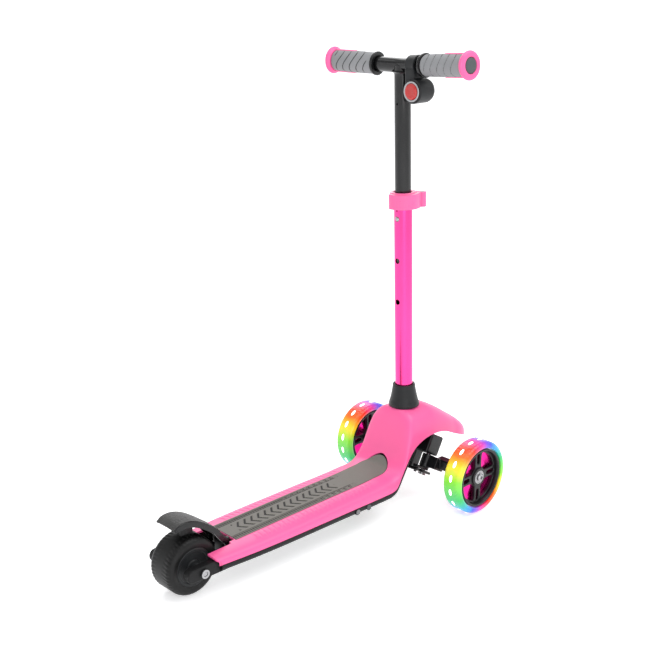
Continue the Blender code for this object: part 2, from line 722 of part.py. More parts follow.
def make_power_switch():
    at = side_place(POWER_KNOB_AHEAD)
    turn = (0, -math.pi / 2, 0)
    ring("power_bezel", POWER_BEZEL_RADIUS, POWER_KNOB_RADIUS + GAP, -0.0050, 0.0016,
         "black_plastic", None, at, turn, 24)
    turned("power_button", [
        (0.0, 0.0036), (POWER_KNOB_RADIUS - 0.0008, 0.0034), (POWER_KNOB_RADIUS, 0.0026),
        (POWER_KNOB_RADIUS, -0.0046), (0.0, -0.0046),
    ], "grey_rubber", None, at, turn, 24)
    turned("charge_port_cap", [
        (0.0, 0.0030), (0.0042, 0.0026), (0.0048, 0.0018), (0.0048, 0.0012), (CHARGE_CAP_STEM, 0.0012),
        (CHARGE_CAP_STEM, -0.0050), (0.0, -0.0050),
    ], "black_rubber", None, side_place(CHARGE_CAP_AHEAD), turn, 18)


# ---------------------------------------------------------------- stem and clamp


def make_stem():
    turned("stem_collar", [
        (COLLAR_TOP_RADIUS - 0.001, COLLAR_HEIGHT), (COLLAR_TOP_RADIUS, COLLAR_HEIGHT - 0.001),
        (COLLAR_TOP_RADIUS + 0.0035, COLLAR_HEIGHT * 0.45),
        (COLLAR_FOOT_RADIUS, 0.0040), (COLLAR_FOOT_RADIUS, 0.0012), (COLLAR_FOOT_RADIUS - 0.001, GAP),
        (LOWER_TUBE_RADIUS + GAP, GAP), (LOWER_TUBE_RADIUS + GAP, COLLAR_HEIGHT),
    ], "charcoal_plastic", STEM, closed=True)
    inner = UPPER_TUBE_RADIUS + GAP
    tube = ring("lower_tube", LOWER_TUBE_RADIUS, inner, -LOWER_TUBE_BURIED,
                CLAMP_FOOT_ALONG + CLAMP_HEIGHT - 0.001, "anodised_pink", STEM)
    for step in range(HEIGHT_STEPS + 1):
        hole = rod_mesh(f"height_hole_{step}", POP_BUTTON_RADIUS + GAP, 0.0, 0.03, 16)
        cut(tube, hole, (0, 0, POP_BUTTON_ALONG - step * HEIGHT_STEP), (-math.pi / 2, 0, 0), STEM)
    slit = box_mesh("tube_slit", (0.0024, 0.012, 0.040))
    cut(tube, slit, (0, LOWER_TUBE_RADIUS, CLAMP_FOOT_ALONG + 0.016), parent=STEM)


def make_clamp():
    """A split collar with two ears in front, closed by a cam lever that wraps round it."""
    middle = CLAMP_FOOT_ALONG + CLAMP_HEIGHT / 2
    half = CLAMP_HEIGHT / 2
    edge = 0.0015
    collar = turned("clamp_collar", [
        (0.0, half), (CLAMP_RING_RADIUS - edge, half), (CLAMP_RING_RADIUS, half - edge),
        (CLAMP_RING_RADIUS, edge - half), (CLAMP_RING_RADIUS - edge, -half), (0.0, -half),
    ], "pink_plastic", STEM, (0, 0, middle))
    ears = box_mesh("clamp_ears", (2 * EAR_HALF_SPREAD, EAR_REACH - 0.012, CLAMP_HEIGHT - 0.004),
                    bevel=0.0015)
    join(collar, ears, (0, -(EAR_REACH + 0.012) / 2, middle), parent=STEM)
    bore = rod_mesh("clamp_bore", LOWER_TUBE_RADIUS + GAP, -0.03, 0.03, SMOOTH_SIDES)
    cut(collar, bore, (0, 0, middle), parent=STEM)
    slit = box_mesh("clamp_slit", (SLIT_WIDTH, EAR_REACH, 0.040))
    cut(collar, slit, (0, -EAR_REACH / 2 - 0.005, middle), parent=STEM)
    bolt_hole = rod_mesh("clamp_bolt_hole", CLAMP_BOLT_RADIUS + GAP, -0.03, 0.03, 16)
    cut(collar, bolt_hole, (0, -LEVER_PIN_FORWARD, middle), (0, math.pi / 2, 0), STEM)
    make_clamp_bolt(middle)
    make_clamp_lever(middle)


def make_clamp_bolt(middle):
    """The bolt runs across the ears and ends in the lever's barrel pin."""
    reach = LEVER_PIN_SIDE - LEVER_PIN_RADIUS - GAP
    turned("clamp_bolt", [
        (0.0, EAR_HALF_SPREAD + 0.0034), (0.0036, EAR_HALF_SPREAD + 0.0032),
        (0.0042, EAR_HALF_SPREAD + 0.0022), (0.0042, EAR_HALF_SPREAD + GAP),
        (CLAMP_BOLT_RADIUS, EAR_HALF_SPREAD + GAP), (CLAMP_BOLT_RADIUS, -reach), (0.0, -reach),
    ], "steel", STEM, (0, -LEVER_PIN_FORWARD, middle), (0, math.pi / 2, 0), 16)
    pin = rod_mesh("lever_pin", LEVER_PIN_RADIUS, -CLAMP_HEIGHT / 2 + 0.001, CLAMP_HEIGHT / 2 - 0.001)
    add("lever_pin", pin, "steel", STEM, (-LEVER_PIN_SIDE, -LEVER_PIN_FORWARD, middle))


def make_clamp_lever(middle):
    """Eye round the pin and a curved handle that wraps the right and back of the collar."""
    pin = Vector((-LEVER_PIN_SIDE, -LEVER_PIN_FORWARD, 0))
    half = CLAMP_HEIGHT / 2 - 0.0012
    inner = CLAMP_RING_RADIUS + RUNNING_GAP
    outer = inner + LEVER_THICK
    start = math.atan2(pin.y, pin.x) + math.tau
    outline = []
    turns = 14
    for radius, order in ((outer, range(turns + 1)), (inner, range(turns, -1, -1))):
        for i in order:
            angle = start - LEVER_SWEEP * i / turns
            outline.append(Vector((radius * math.cos(angle), radius * math.sin(angle), 0)) - pin)

    def build(shape):
        ring_points = [shape.verts.new((p.x, p.y, -half)) for p in outline]
        face = shape.faces.new(ring_points)
        lifted = bmesh.ops.extrude_face_region(shape, geom=[face])
        raised = [v for v in lifted["geom"] if isinstance(v, bmesh.types.BMVert)]
        bmesh.ops.translate(shape, verts=raised, vec=(0, 0, 2 * half))
        bmesh.ops.recalc_face_normals(shape, faces=shape.faces[:])

    lever = add("clamp_lever", mesh_from("clamp_lever", build), "pink_plastic", STEM,
                (pin.x, pin.y, middle))
    at = (pin.x, pin.y, middle)
    join(lever, rod_mesh("lever_eye", LEVER_EYE_RADIUS, -half, half, 24), at, parent=STEM)
    end = start - LEVER_SWEEP
    tip = Vector((math.cos(end), math.sin(end), 0)) * (inner + LEVER_THICK / 2)
    join(lever, rod_mesh("lever_tip", LEVER_THICK / 2, -half, half, 16), (tip.x, tip.y, middle),
         parent=STEM)
    cut(lever, rod_mesh("lever_eye_hole", LEVER_PIN_RADIUS + GAP, -0.02, 0.02), at, parent=STEM)
    slot_height = 2 * CLAMP_BOLT_RADIUS + 0.0012
    slot = box_mesh("lever_bolt_slot", (0.016, 0.016, slot_height))
    cut(lever, slot, (pin.x + 0.0055, pin.y - 0.0055, middle), parent=STEM)
    ears_room = (2 * (EAR_HALF_SPREAD + RUNNING_GAP * 0.8), 0.03, 0.04)
    cut(lever, box_mesh("lever_ear_room", ears_room), (0, -0.025, middle), parent=STEM)


# ---------------------------------------------------------------- handlebar


def bar_side(side):
    """Rotation that lays local Z along one half of the swept and raised bar."""
    out = Vector((side, math.tan(BAR_SWEEP), math.tan(BAR_RISE))).normalized()
    return out.to_track_quat("Z", "Y").to_euler()


def make_t_bar():
    low = POP_BUTTON_ALONG - UPPER_TUBE_BELOW_BUTTON - BAR_ALONG
    inner = UPPER_TUBE_RADIUS - UPPER_TUBE_WALL
    bar = turned("t_bar", [
        (0.0, 0.0), (UPPER_TUBE_RADIUS, 0.0), (UPPER_TUBE_RADIUS, low), (inner, low),
        (inner, -0.030), (0.0, -0.030),
    ], "black_metal", BAR, sides=SMOOTH_SIDES)
    join(bar, box_mesh("bar_joint", (0.020, 0.018, 0.020), bevel=0.004), parent=BAR)
    for side in (-1, 1):
        half = rod_mesh(f"bar_half_{side}", BAR_RADIUS, -0.004, FLANGE_END - CAP_THICK - 2 * GAP, 28)
        join(bar, half, turn=bar_side(side), parent=BAR)
    hole = rod_mesh("bar_button_hole", POP_BUTTON_RADIUS + GAP, 0.0, 0.03, 16)
    cut(bar, hole, (0, 0, POP_BUTTON_ALONG), (-math.pi / 2, 0, 0), STEM)
    dimple = rod_mesh("bar_cable_hole", 0.0016, 0.0, 0.03, 12)
    cut(bar, dimple, (0, 0, BAR_ALONG - 0.056), (-math.pi / 2, 0, 0), STEM)


def make_grips():
    for side, name in ((1, "left"), (-1, "right")):
        frame = empty(f"grip_frame_{name}", (0, 0, 0), bar_side(side), BAR)
        make_grip(name, frame)


def make_grip(name, frame):
    bore = BAR_RADIUS + GAP
    ring(f"grip_collar_{name}", GRIP_COLLAR_RADIUS, bore, GRIP_INNER_END,
         GRIP_INNER_END + GRIP_COLLAR_WIDTH, "black_rubber", frame, sides=22, chamfer=0.0015)
    start = GRIP_INNER_END + GRIP_COLLAR_WIDTH + GAP
    middle = (start + GRIP_OUTER_END) / 2
    grip = turned(f"grip_{name}", [
        (GRIP_RADIUS - 0.0010, GRIP_OUTER_END), (GRIP_RADIUS, GRIP_OUTER_END - 0.002),
        (GRIP_RADIUS + 0.0006, middle), (GRIP_RADIUS + 0.0004, start + 0.001),
        (GRIP_RADIUS - 0.0006, start), (bore, start), (bore, GRIP_OUTER_END),
    ], "grey_rubber", frame, sides=22, closed=True)
    flange_low = GRIP_OUTER_END + GAP
    flange_high = flange_low + FLANGE_WIDTH
    flange = turned(f"grip_flange_{name}", [
        (FLANGE_RADIUS - 0.0030, flange_high), (FLANGE_RADIUS, flange_high - 0.0022),
        (FLANGE_RADIUS - 0.0004, flange_high - 0.0045), (GRIP_RADIUS + 0.0012, flange_low),
        (bore, flange_low), (bore, flange_high - CAP_THICK - GAP),
        (CAP_RADIUS + GAP, flange_high - CAP_THICK - GAP), (CAP_RADIUS + GAP, flange_high),
    ], "pink_plastic", frame, sides=22, closed=True)
    for label, spin in (("upper", 0.0), ("lower", math.pi)):
        centre = (0, GRIP_RADIUS - 0.0002, GRIP_OUTER_END - GRIP_STRIP_LENGTH / 2 + 0.002)
        strip = box_mesh(f"strip_{label}_{name}",
                         (GRIP_STRIP_WIDTH, 0.0030, GRIP_STRIP_LENGTH + 0.004), centre, 0.0008)
        join(flange, strip, turn=spun(frame, spin), parent=BAR)
        room = box_mesh(f"strip_room_{label}_{name}",
                        (GRIP_STRIP_WIDTH + 2 * GAP, 0.0030 + 2 * GAP, GRIP_STRIP_LENGTH + 0.004
                         + 2 * GAP), centre)
        cut(grip, room, turn=spun(frame, spin), parent=BAR)
    turned(f"grip_cap_{name}", [
        (0.0, flange_high + 0.0006), (CAP_RADIUS - 0.003, flange_high + 0.0004),
        (CAP_RADIUS, flange_high - 0.0006), (CAP_RADIUS, flange_high - CAP_THICK),
        (0.0, flange_high - CAP_THICK),
    ], "grey_rubber", frame, sides=22)


def spun(frame, spin):
    """A grip frame's rotation, spun about its own axis."""
    turn = frame.rotation_euler.to_matrix() @ Matrix.Rotation(spin, 3, "Z")
    return turn.to_euler()


def make_throttle():
    """Strap round the bar, drum below it and a sprung red button facing the rider."""
    at = (-POD_SIDE, POD_REAR_BEHIND, -POD_DROP)
    back = (-math.pi / 2, 0, 0)
    pod = turned("throttle_housing", [
        (0.0, 0.0), (POD_RADIUS - 0.0015, 0.0), (POD_RADIUS, -0.0015),
        (POD_RADIUS, -POD_LENGTH + 0.006), (POD_RADIUS - 0.0018, -POD_LENGTH + 0.0018),
        (POD_RADIUS - 0.006, -POD_LENGTH), (0.0, -POD_LENGTH),
    ], "charcoal_plastic", BAR, at, back, 36)
    strap_centre = POD_STRAP_INNER_SIDE + POD_STRAP_WIDTH / 2
    strap = rod_mesh("throttle_strap", POD_STRAP_RADIUS, POD_STRAP_INNER_SIDE,
                     POD_STRAP_INNER_SIDE + POD_STRAP_WIDTH, 28)
    turn = bar_side(-1)
    join(pod, strap, turn=turn, parent=BAR)
    neck = box_mesh("throttle_neck", (POD_STRAP_WIDTH, 0.024, POD_DROP), bevel=0.003)
    join(pod, neck, (-strap_centre, POD_REAR_BEHIND - 0.0150, -POD_DROP / 2 - 0.001), parent=BAR)
    bore = rod_mesh("throttle_strap_bore", BAR_RADIUS + GAP, 0.0, 0.06, 32)
    cut(pod, bore, turn=turn, parent=BAR)
    pocket = rod_mesh("throttle_pocket", POD_RING_RADIUS + GAP, -0.012, 0.010, 28)
    cut(pod, pocket, at, back, BAR)
    ring("throttle_ring", POD_RING_RADIUS, THROTTLE_RADIUS + GAP, -0.0110, 0.0016, "steel", BAR,
         at, back, 28, chamfer=0.0006)
    turned("throttle_button", [
        (0.0, 0.0042), (THROTTLE_RADIUS - 0.005, 0.0038), (THROTTLE_RADIUS - 0.0012, 0.0026),
        (THROTTLE_RADIUS, 0.0014), (THROTTLE_RADIUS, -0.0070), (0.0, -0.0070),
    ], "red_plastic", BAR, at, back, 28)


def make_pop_button():
    """The height latch: a button on a leaf clip inside the upper tube."""
    at = (0, 0, POP_BUTTON_ALONG)
    back = (-math.pi / 2, 0, 0)
    inner = UPPER_TUBE_RADIUS - UPPER_TUBE_WALL
    turned("pop_button", [
        (0.0, LOWER_TUBE_RADIUS + 0.0018), (0.0022, LOWER_TUBE_RADIUS + 0.0015),
        (POP_BUTTON_RADIUS, LOWER_TUBE_RADIUS - 0.0002), (POP_BUTTON_RADIUS, 0.0062),
        (0.0, 0.0062),
    ], "steel", STEM, at, back, 16)
    leaf = [(0.0, -0.0076, -0.030), (0.0, -0.0090, 0.0), (0.0, -0.0060, 0.016),
            (0.0, 0.0005, 0.021), (0.0, 0.0048, 0.016), (0.0, 0.0052, 0.0), (0.0, 0.0052, -0.010)]
    rows = [[(x - 0.003, y, z), (x + 0.003, y, z)] for x, y, z in leaf]
    clip = add("pop_clip", grid_mesh("pop_clip", rows), "steel", STEM, at)
    modifier(clip, "SOLIDIFY", thickness=0.0006, offset=0.0)


# ---------------------------------------------------------------- steering


def make_steering():
    for side, name in ((1, "left"), (-1, "right")):
        make_kingpin(side, name)
        make_knuckle(side, name)
    make_tie_rod()


def make_kingpin(side, name):
    foot = KNUCKLE_HALF_HEIGHT + STEER_LEVER_DROP + RUNNING_GAP + 0.0045 + GAP
    turned(f"kingpin_{name}", [
        (0.0, 0.036), (KINGPIN_RADIUS, 0.036), (KINGPIN_RADIUS, -foot),
        (KINGPIN_RADIUS + 0.0026, -foot), (KINGPIN_RADIUS + 0.0026, -foot - 0.0030),
        (0.0, -foot - 0.0030),
    ], "steel", STEERING, (side * KINGPIN_HALF_SPACING, 0, 0), sides=SMALL_SIDES)


def make_knuckle(side, name):
    """Sleeve on the kingpin, arm out to the wheel and lever back to the tie rod."""
    at = (side * KINGPIN_HALF_SPACING, 0, 0)
    knuckle = add(f"knuckle_{name}",
                  rod_mesh(f"knuckle_{name}", KNUCKLE_RADIUS, -KNUCKLE_HALF_HEIGHT,
                           KNUCKLE_HALF_HEIGHT, 24), "black_metal", STEERING, at)
    inner = KINGPIN_HALF_SPACING + 0.016
    outer = TRACK / 2 - HUB_WIDTH / 2 - BEARING_PROUD - RUNNING_GAP
    beam = box_mesh(f"arm_beam_{name}", (outer - inner, ARM_BEAM_DEPTH, ARM_BEAM_HEIGHT),
                    bevel=0.0020)
    middle = (inner + outer) / 2
    join(knuckle, beam, (side * middle, world_y(WHEELBASE), FRONT_WHEEL_RADIUS))
    root = box_mesh(f"arm_root_{name}", (0.024, 0.024, 2 * KNUCKLE_HALF_HEIGHT - 0.0010),
                    bevel=0.002)
    join(knuckle, root, (side * (KINGPIN_HALF_SPACING + 0.014), -0.0060, 0), parent=STEERING)
    drop = KNUCKLE_HALF_HEIGHT + STEER_LEVER_DROP - STEER_LEVER_THICK / 2
    lever = box_mesh(f"steer_lever_{name}",
                     (0.0100, STEER_LEVER_LENGTH + 0.005, STEER_LEVER_THICK), bevel=0.0010)
    join(knuckle, lever, (at[0], STEER_LEVER_LENGTH / 2 + 0.0025, -drop), parent=STEERING)
    sleeve = rod_mesh(f"lever_sleeve_{name}", KNUCKLE_RADIUS - 0.0015,
                      0.0004 - KNUCKLE_HALF_HEIGHT - STEER_LEVER_DROP, 0.0, 24)
    join(knuckle, sleeve, at, parent=STEERING)
    pin = rod_mesh(f"tie_pin_{name}", TIE_PIN_RADIUS,
                   -drop - STEER_LEVER_THICK / 2 - TIE_ROD_THICK - 0.0030, -drop, 16)
    join(knuckle, pin, (at[0], STEER_LEVER_LENGTH, 0), parent=STEERING)
    bore = rod_mesh(f"knuckle_bore_{name}", KINGPIN_RADIUS + GAP, -0.04, 0.04)
    cut(knuckle, bore, at, parent=STEERING)
    axle = rod_mesh(f"knuckle_axle_bore_{name}", FRONT_BOLT_RADIUS + GAP, -0.020, 0.030)
    cut(knuckle, axle, (side * outer, world_y(WHEELBASE), FRONT_WHEEL_RADIUS),
        (0, side * math.pi / 2, 0))


def make_tie_rod():
    """Flat link between the two steering levers, on the pins under them."""
    top = -(KNUCKLE_HALF_HEIGHT + STEER_LEVER_DROP + RUNNING_GAP)
    size = (2 * KINGPIN_HALF_SPACING + TIE_ROD_WIDTH, TIE_ROD_WIDTH, TIE_ROD_THICK)
    at = (0, STEER_LEVER_LENGTH, top - TIE_ROD_THICK / 2)
    rod = add("tie_rod", box_mesh("tie_rod", size, bevel=0.0012), "black_metal", STEERING, at)
    for side in (-1, 1):
        hole = rod_mesh(f"tie_hole_{side}", TIE_PIN_RADIUS + GAP, -0.02, 0.02, 16)
        cut(rod, hole, (side * KINGPIN_HALF_SPACING, STEER_LEVER_LENGTH, at[2]), parent=STEERING)


# ---------------------------------------------------------------- wheels


def tyre_profile(radius, width, bore, shoulder, crown_points=4):
    """A round-shouldered tread: arcs from one sidewall over the tread to the other."""
    half = width / 2
    outer = []
    for i in range(crown_points):
        angle = math.pi / 2 * i / (crown_points - 1)
        outer.append((radius - shoulder + shoulder * math.sin(angle),
                      half - shoulder + shoulder * math.cos(angle)))
    lower = [(r, -h) for r, h in reversed(outer)]
    return [(bore, half - 0.001), *outer, *lower, (bore, -half + 0.001)]


def make_front_wheels():
    for side, name in ((1, "left"), (-1, "right")):
        at = (side * TRACK / 2, world_y(WHEELBASE), FRONT_WHEEL_RADIUS)
        make_front_wheel(name, empty(f"wheel_frame_{name}", at, (0, side * math.pi / 2, 0)))


def make_front_wheel(name, frame):
    light_outer = RIM_RADIUS + GAP + LIGHT_RING_THICK
    turned(f"front_tyre_{name}",
           tyre_profile(FRONT_WHEEL_RADIUS, FRONT_TYRE_WIDTH, light_outer + GAP, 0.0075),
           "clear_tyre", frame, closed=True, sides=TYRE_SIDES)
    ring(f"light_ring_{name}", light_outer, RIM_RADIUS + GAP, -0.009, 0.009, "light_strip", frame,
         sides=TYRE_SIDES)
    make_rim(name, frame)
    ring(f"rim_insert_{name}", RIM_INNER_RADIUS - GAP, HUB_RADIUS + GAP, -0.0015, 0.0015,
         "anodised_pink", frame)
    bearing_end = HUB_WIDTH / 2 + BEARING_PROUD
    inner_end = bearing_end - BEARING_WIDTH
    turned(f"wheel_bearing_{name}", [
        (BEARING_RADIUS, bearing_end), (BEARING_RADIUS, inner_end), (0.0062, inner_end),
        (0.0062, -inner_end), (BEARING_RADIUS, -inner_end), (BEARING_RADIUS, -bearing_end),
        (FRONT_BOLT_RADIUS + GAP, -bearing_end), (FRONT_BOLT_RADIUS + GAP, bearing_end),
    ], "steel", frame, closed=True, sides=22)
    head_low = bearing_end + RUNNING_GAP
    bolt = turned(f"front_axle_bolt_{name}", [
        (0.0, head_low + FRONT_BOLT_HEAD_THICK),
        (FRONT_BOLT_HEAD_RADIUS - 0.0014, head_low + FRONT_BOLT_HEAD_THICK),
        (FRONT_BOLT_HEAD_RADIUS, head_low + FRONT_BOLT_HEAD_THICK - 0.0014),
        (FRONT_BOLT_HEAD_RADIUS, head_low), (FRONT_BOLT_RADIUS, head_low),
        (FRONT_BOLT_RADIUS, -HUB_WIDTH / 2 - 0.018), (0.0, -HUB_WIDTH / 2 - 0.018),
    ], "steel", frame, sides=SMALL_SIDES)
    hex_socket(bolt, 0.0032, 0.0022, head_low + FRONT_BOLT_HEAD_THICK, frame, (0, 0, 0), (0, 0, 0))


def make_rim(name, frame):
    """Barrel, hub and four double-ribbed spokes; the ribs stand proud of the insert."""
    half = RIM_WIDTH / 2
    rim = turned(f"wheel_rim_{name}", [
        (RIM_RADIUS, half), (RIM_RADIUS, -half), (RIM_INNER_RADIUS + 0.001, -half),
        (RIM_INNER_RADIUS, -half + 0.003), (RIM_INNER_RADIUS, half - 0.003),
        (RIM_INNER_RADIUS + 0.001, half),
    ], "black_metal", frame, closed=True)
    join(rim, rod_mesh(f"rim_hub_{name}", HUB_RADIUS, -HUB_WIDTH / 2, HUB_WIDTH / 2, 24),
         parent=frame)
    length = RIM_INNER_RADIUS - HUB_RADIUS + 0.006
    centre = (RIM_INNER_RADIUS + HUB_RADIUS) / 2
    for spoke in range(SPOKES):
        angle = math.tau * spoke / SPOKES
        for rib in (-1, 1):
            for face in (-1, 1):
                bar = box_mesh(f"rib_{spoke}_{rib}_{face}_{name}",
                               (length, SPOKE_RIB_WIDTH, 0.0065),
                               (centre, rib * SPOKE_RIB_SPREAD, face * 0.0052))
                join(rim, bar, turn=(0, 0, angle), parent=frame)
    bore = rod_mesh(f"rim_bearing_bore_{name}", BEARING_RADIUS + GAP, -0.03, 0.03, 24)
    cut(rim, bore, parent=frame)


def make_rear_wheel():
    half = REAR_TYRE_WIDTH / 2
    turned("rear_tyre", tyre_profile(REAR_WHEEL_RADIUS, REAR_TYRE_WIDTH,
                                     REAR_HUB_RADIUS + GAP, 0.0090),
           "black_rubber", REAR_AXLE, closed=True, sides=TYRE_SIDES)
    bore = REAR_AXLE_RADIUS + GAP
    motor_half = half - 0.0005
    turned("hub_motor", [
        (REAR_HUB_RADIUS, motor_half), (REAR_HUB_RADIUS, -motor_half),
        (MOTOR_COVER_RADIUS, -motor_half), (MOTOR_COVER_RADIUS - 0.001, -motor_half + 0.001),
        (0.0100, -motor_half + 0.001), (0.0095, -ARM_INNER + RUNNING_GAP),
        (bore, -ARM_INNER + RUNNING_GAP), (bore, ARM_INNER - RUNNING_GAP),
        (0.0095, ARM_INNER - RUNNING_GAP), (0.0100, motor_half - 0.001),
        (MOTOR_COVER_RADIUS - 0.001, motor_half - 0.001), (MOTOR_COVER_RADIUS, motor_half),
    ], "charcoal_plastic", REAR_AXLE, closed=True, sides=22)
    seat = ARM_OUTER + GAP
    bolt = turned("rear_axle_bolt", [
        (0.0, seat + 0.0010), (REAR_AXLE_RADIUS, seat + 0.0010), (REAR_AXLE_RADIUS, -seat),
        (REAR_HEAD_RADIUS, -seat), (REAR_HEAD_RADIUS, -seat - REAR_HEAD_THICK + 0.001),
        (REAR_HEAD_RADIUS - 0.0012, -seat - REAR_HEAD_THICK), (0.0, -seat - REAR_HEAD_THICK),
    ], "steel", REAR_AXLE, sides=22)
    socket = rod_mesh("rear_bolt_socket", 0.0034, -seat - REAR_HEAD_THICK - 0.002,
                      -seat - REAR_HEAD_THICK + 0.0024, 6)
    cut(bolt, socket, parent=REAR_AXLE)
    nut = add("rear_axle_nut", rod_mesh("rear_axle_nut", REAR_HEAD_RADIUS, seat,
                                        seat + REAR_HEAD_THICK, 6), "steel", REAR_AXLE)
    cut(nut, rod_mesh("rear_nut_bore", REAR_AXLE_RADIUS + GAP, seat - 0.01, seat + 0.01, 24),
        parent=REAR_AXLE)


# ---------------------------------------------------------------- brake


def fender_path():
    """(ahead of hinge, above hinge) points along the fender's top, from hinge to tip."""
    crest = FENDER_CREST - FENDER_HINGE_HEIGHT
    reach = FENDER_HINGE_AHEAD
    return [
        (0.0010, 0.0078), (-0.0040, 0.0150), (-0.0110, 0.0230), (-0.0220, 0.0370),
        (-0.0360, crest - 0.0160), (-0.0500, crest - 0.0070), (1e-3 - reach, crest - 0.0005),
        (-reach - 0.0100, crest + 0.0010), (-reach - 0.0210, crest - 0.0005),
        (-reach - 0.0290, crest - 0.0055),
    ]


def make_fender():
    """Sprung rear mudguard that the rider steps on; its block then rubs on the tyre."""
    path = fender_path()
    rows = []
    for i, (run, rise) in enumerate(path):
        before, after = path[max(i - 1, 0)], path[min(i + 1, len(path) - 1)]
        tangent = Vector((0, -(after[0] - before[0]), after[1] - before[1])).normalized()
        inward = Vector((0, tangent.z, -tangent.y))
        top = Vector((0, -run, rise))
        flange = FENDER_FLANGE * (0.5 if i >= len(path) - 2 else 1.0)
        width = FENDER_HALF_WIDTH
        rows.append([
            top + Vector((width + 0.0010, 0, 0)) + inward * flange,
            top + Vector((width + 0.0005, 0, 0)) + inward * 0.0022,
            top + Vector((width - 0.0018, 0, 0)),
            top + Vector((width * 0.5, 0, 0)) - inward * 0.0006,
            top - inward * 0.0008,
        ])
    fender = add("brake_fender", grid_mesh("brake_fender", rows), "charcoal_plastic", HINGE)
    modifier(fender, "MIRROR", use_axis=(True, False, False), use_clip=True,
             use_mirror_merge=True, merge_threshold=0.00001)
    modifier(fender, "SOLIDIFY", thickness=FENDER_WALL, offset=1.0, use_even_offset=True)
    ear_side = FENDER_LUG_HALF + RUNNING_GAP + FENDER_EAR_THICK / 2
    for side in (-1, 1):
        ear = box_mesh(f"fender_ear_{side}", (FENDER_EAR_THICK, 0.0076, 0.0170),
                       (0, -0.0002, 0.0048), 0.0008)
        join(fender, ear, (side * ear_side, 0, 0), parent=HINGE)
    hole = rod_mesh("fender_hinge_bore", FENDER_PIN_RADIUS + GAP, -0.04, 0.04)
    cut(fender, hole, turn=(0, math.pi / 2, 0), parent=HINGE)
    pin_reach = FENDER_LUG_HALF + RUNNING_GAP + FENDER_EAR_THICK + 0.0015
    pin = rod_mesh("fender_pin", FENDER_PIN_RADIUS, -pin_reach, pin_reach)
    add("fender_pin", pin, "steel", HINGE, turn=(0, math.pi / 2, 0))
    make_brake_block()


def make_brake_block():
    """Friction block under the fender's crest, a few millimetres clear of the tread."""
    top = FENDER_CREST - FENDER_WALL - 0.0036
    foot = 2 * REAR_WHEEL_RADIUS + BRAKE_TRAVEL_GAP
    size = (0.026, 0.020, top - foot)
    block = box_mesh("brake_block", size, (0, 0, 0), 0.0012)
    add("brake_block", block, "black_rubber", HINGE,
        (0, FENDER_HINGE_AHEAD + 0.002, (top + foot) / 2 - FENDER_HINGE_HEIGHT))


make_deck_shell()
make_pad("grip_pad", "pad_rubber", 0.0, PAD_PROUD, PAD_RECESS + PAD_PROUD)
make_chassis_tray()
make_front_frame()
make_battery_and_cover()
make_power_switch()
make_stem()
make_clamp()
make_t_bar()
make_grips()
make_throttle()
make_pop_button()
make_steering()
make_front_wheels()
make_rear_wheel()
make_fender()
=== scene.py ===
"""Looks of the three-wheeled electric kick scooter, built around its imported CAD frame.

Everything is in the frame's own metres: +Z up, the scooter faces -Y, its left is +X.
"ahead" is a distance forward of the rear axle.
"""

import json
import math

import bmesh
import bpy
import numpy as np
from mathutils import Matrix, Vector


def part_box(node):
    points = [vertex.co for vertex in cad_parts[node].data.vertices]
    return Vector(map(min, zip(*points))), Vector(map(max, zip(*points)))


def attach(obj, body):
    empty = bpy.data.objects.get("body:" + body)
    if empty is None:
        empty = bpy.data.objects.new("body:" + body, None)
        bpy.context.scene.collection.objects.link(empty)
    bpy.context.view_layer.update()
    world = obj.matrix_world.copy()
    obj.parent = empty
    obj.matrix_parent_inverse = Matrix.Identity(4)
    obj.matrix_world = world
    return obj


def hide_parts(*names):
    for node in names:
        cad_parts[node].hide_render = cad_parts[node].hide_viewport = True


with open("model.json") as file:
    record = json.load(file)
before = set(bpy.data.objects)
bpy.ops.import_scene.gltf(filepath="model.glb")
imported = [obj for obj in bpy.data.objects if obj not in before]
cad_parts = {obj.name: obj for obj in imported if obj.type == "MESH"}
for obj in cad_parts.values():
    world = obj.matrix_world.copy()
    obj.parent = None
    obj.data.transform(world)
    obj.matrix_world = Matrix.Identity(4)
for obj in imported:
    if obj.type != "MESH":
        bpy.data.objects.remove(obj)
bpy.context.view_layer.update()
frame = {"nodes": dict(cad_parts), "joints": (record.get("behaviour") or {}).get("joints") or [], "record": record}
JOINTS = {joint["name"]: joint for joint in frame["joints"]}


def box_centre(node):
    low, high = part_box(node)
    return (low + high) / 2


def box_size(node):
    low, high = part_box(node)
    return high - low


# ---- driving places, read from the frame ----
REAR_AXLE = Vector(JOINTS["rear_wheel_spin"]["pos_m"])
FRONT_AXLE = Vector(JOINTS["front_wheel_left_spin"]["pos_m"])
REAR_RADIUS = box_size("rear_tyre").z / 2
REAR_WIDTH = box_size("rear_tyre").x
FRONT_RADIUS = box_size("front_tyre_left").z / 2
FRONT_WIDTH = box_size("front_tyre_left").x
WHEELBASE = REAR_AXLE.y - FRONT_AXLE.y
NOSE_AHEAD = REAR_AXLE.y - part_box("deck_shell")[0].y
STEM_AXIS = Vector(JOINTS["bar_height"]["axis"])
STEM_LEAN = math.atan2(STEM_AXIS.y, STEM_AXIS.z)
HINGE = Vector(JOINTS["brake_press"]["pos_m"])
DECK_HALF_WIDTH = box_size("deck_shell").x / 2
DECK_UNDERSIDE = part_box("chassis_tray")[0].z
STEM_FOOT_AHEAD = WHEELBASE - 0.0375
STEM_FOOT = Vector((0, REAR_AXLE.y - STEM_FOOT_AHEAD, 0.160))
BAR_CENTRE = STEM_FOOT + STEM_AXIS * ((0.7025 - STEM_FOOT.z) / STEM_AXIS.z)
BAR_SWEEP = math.radians(4.1)
BAR_RISE = math.radians(2.0)
LOWER_TUBE_RADIUS = box_size("lower_tube").x / 2
UPPER_TUBE_RADIUS = LOWER_TUBE_RADIUS - 0.0017
BAR_RADIUS = 0.0111
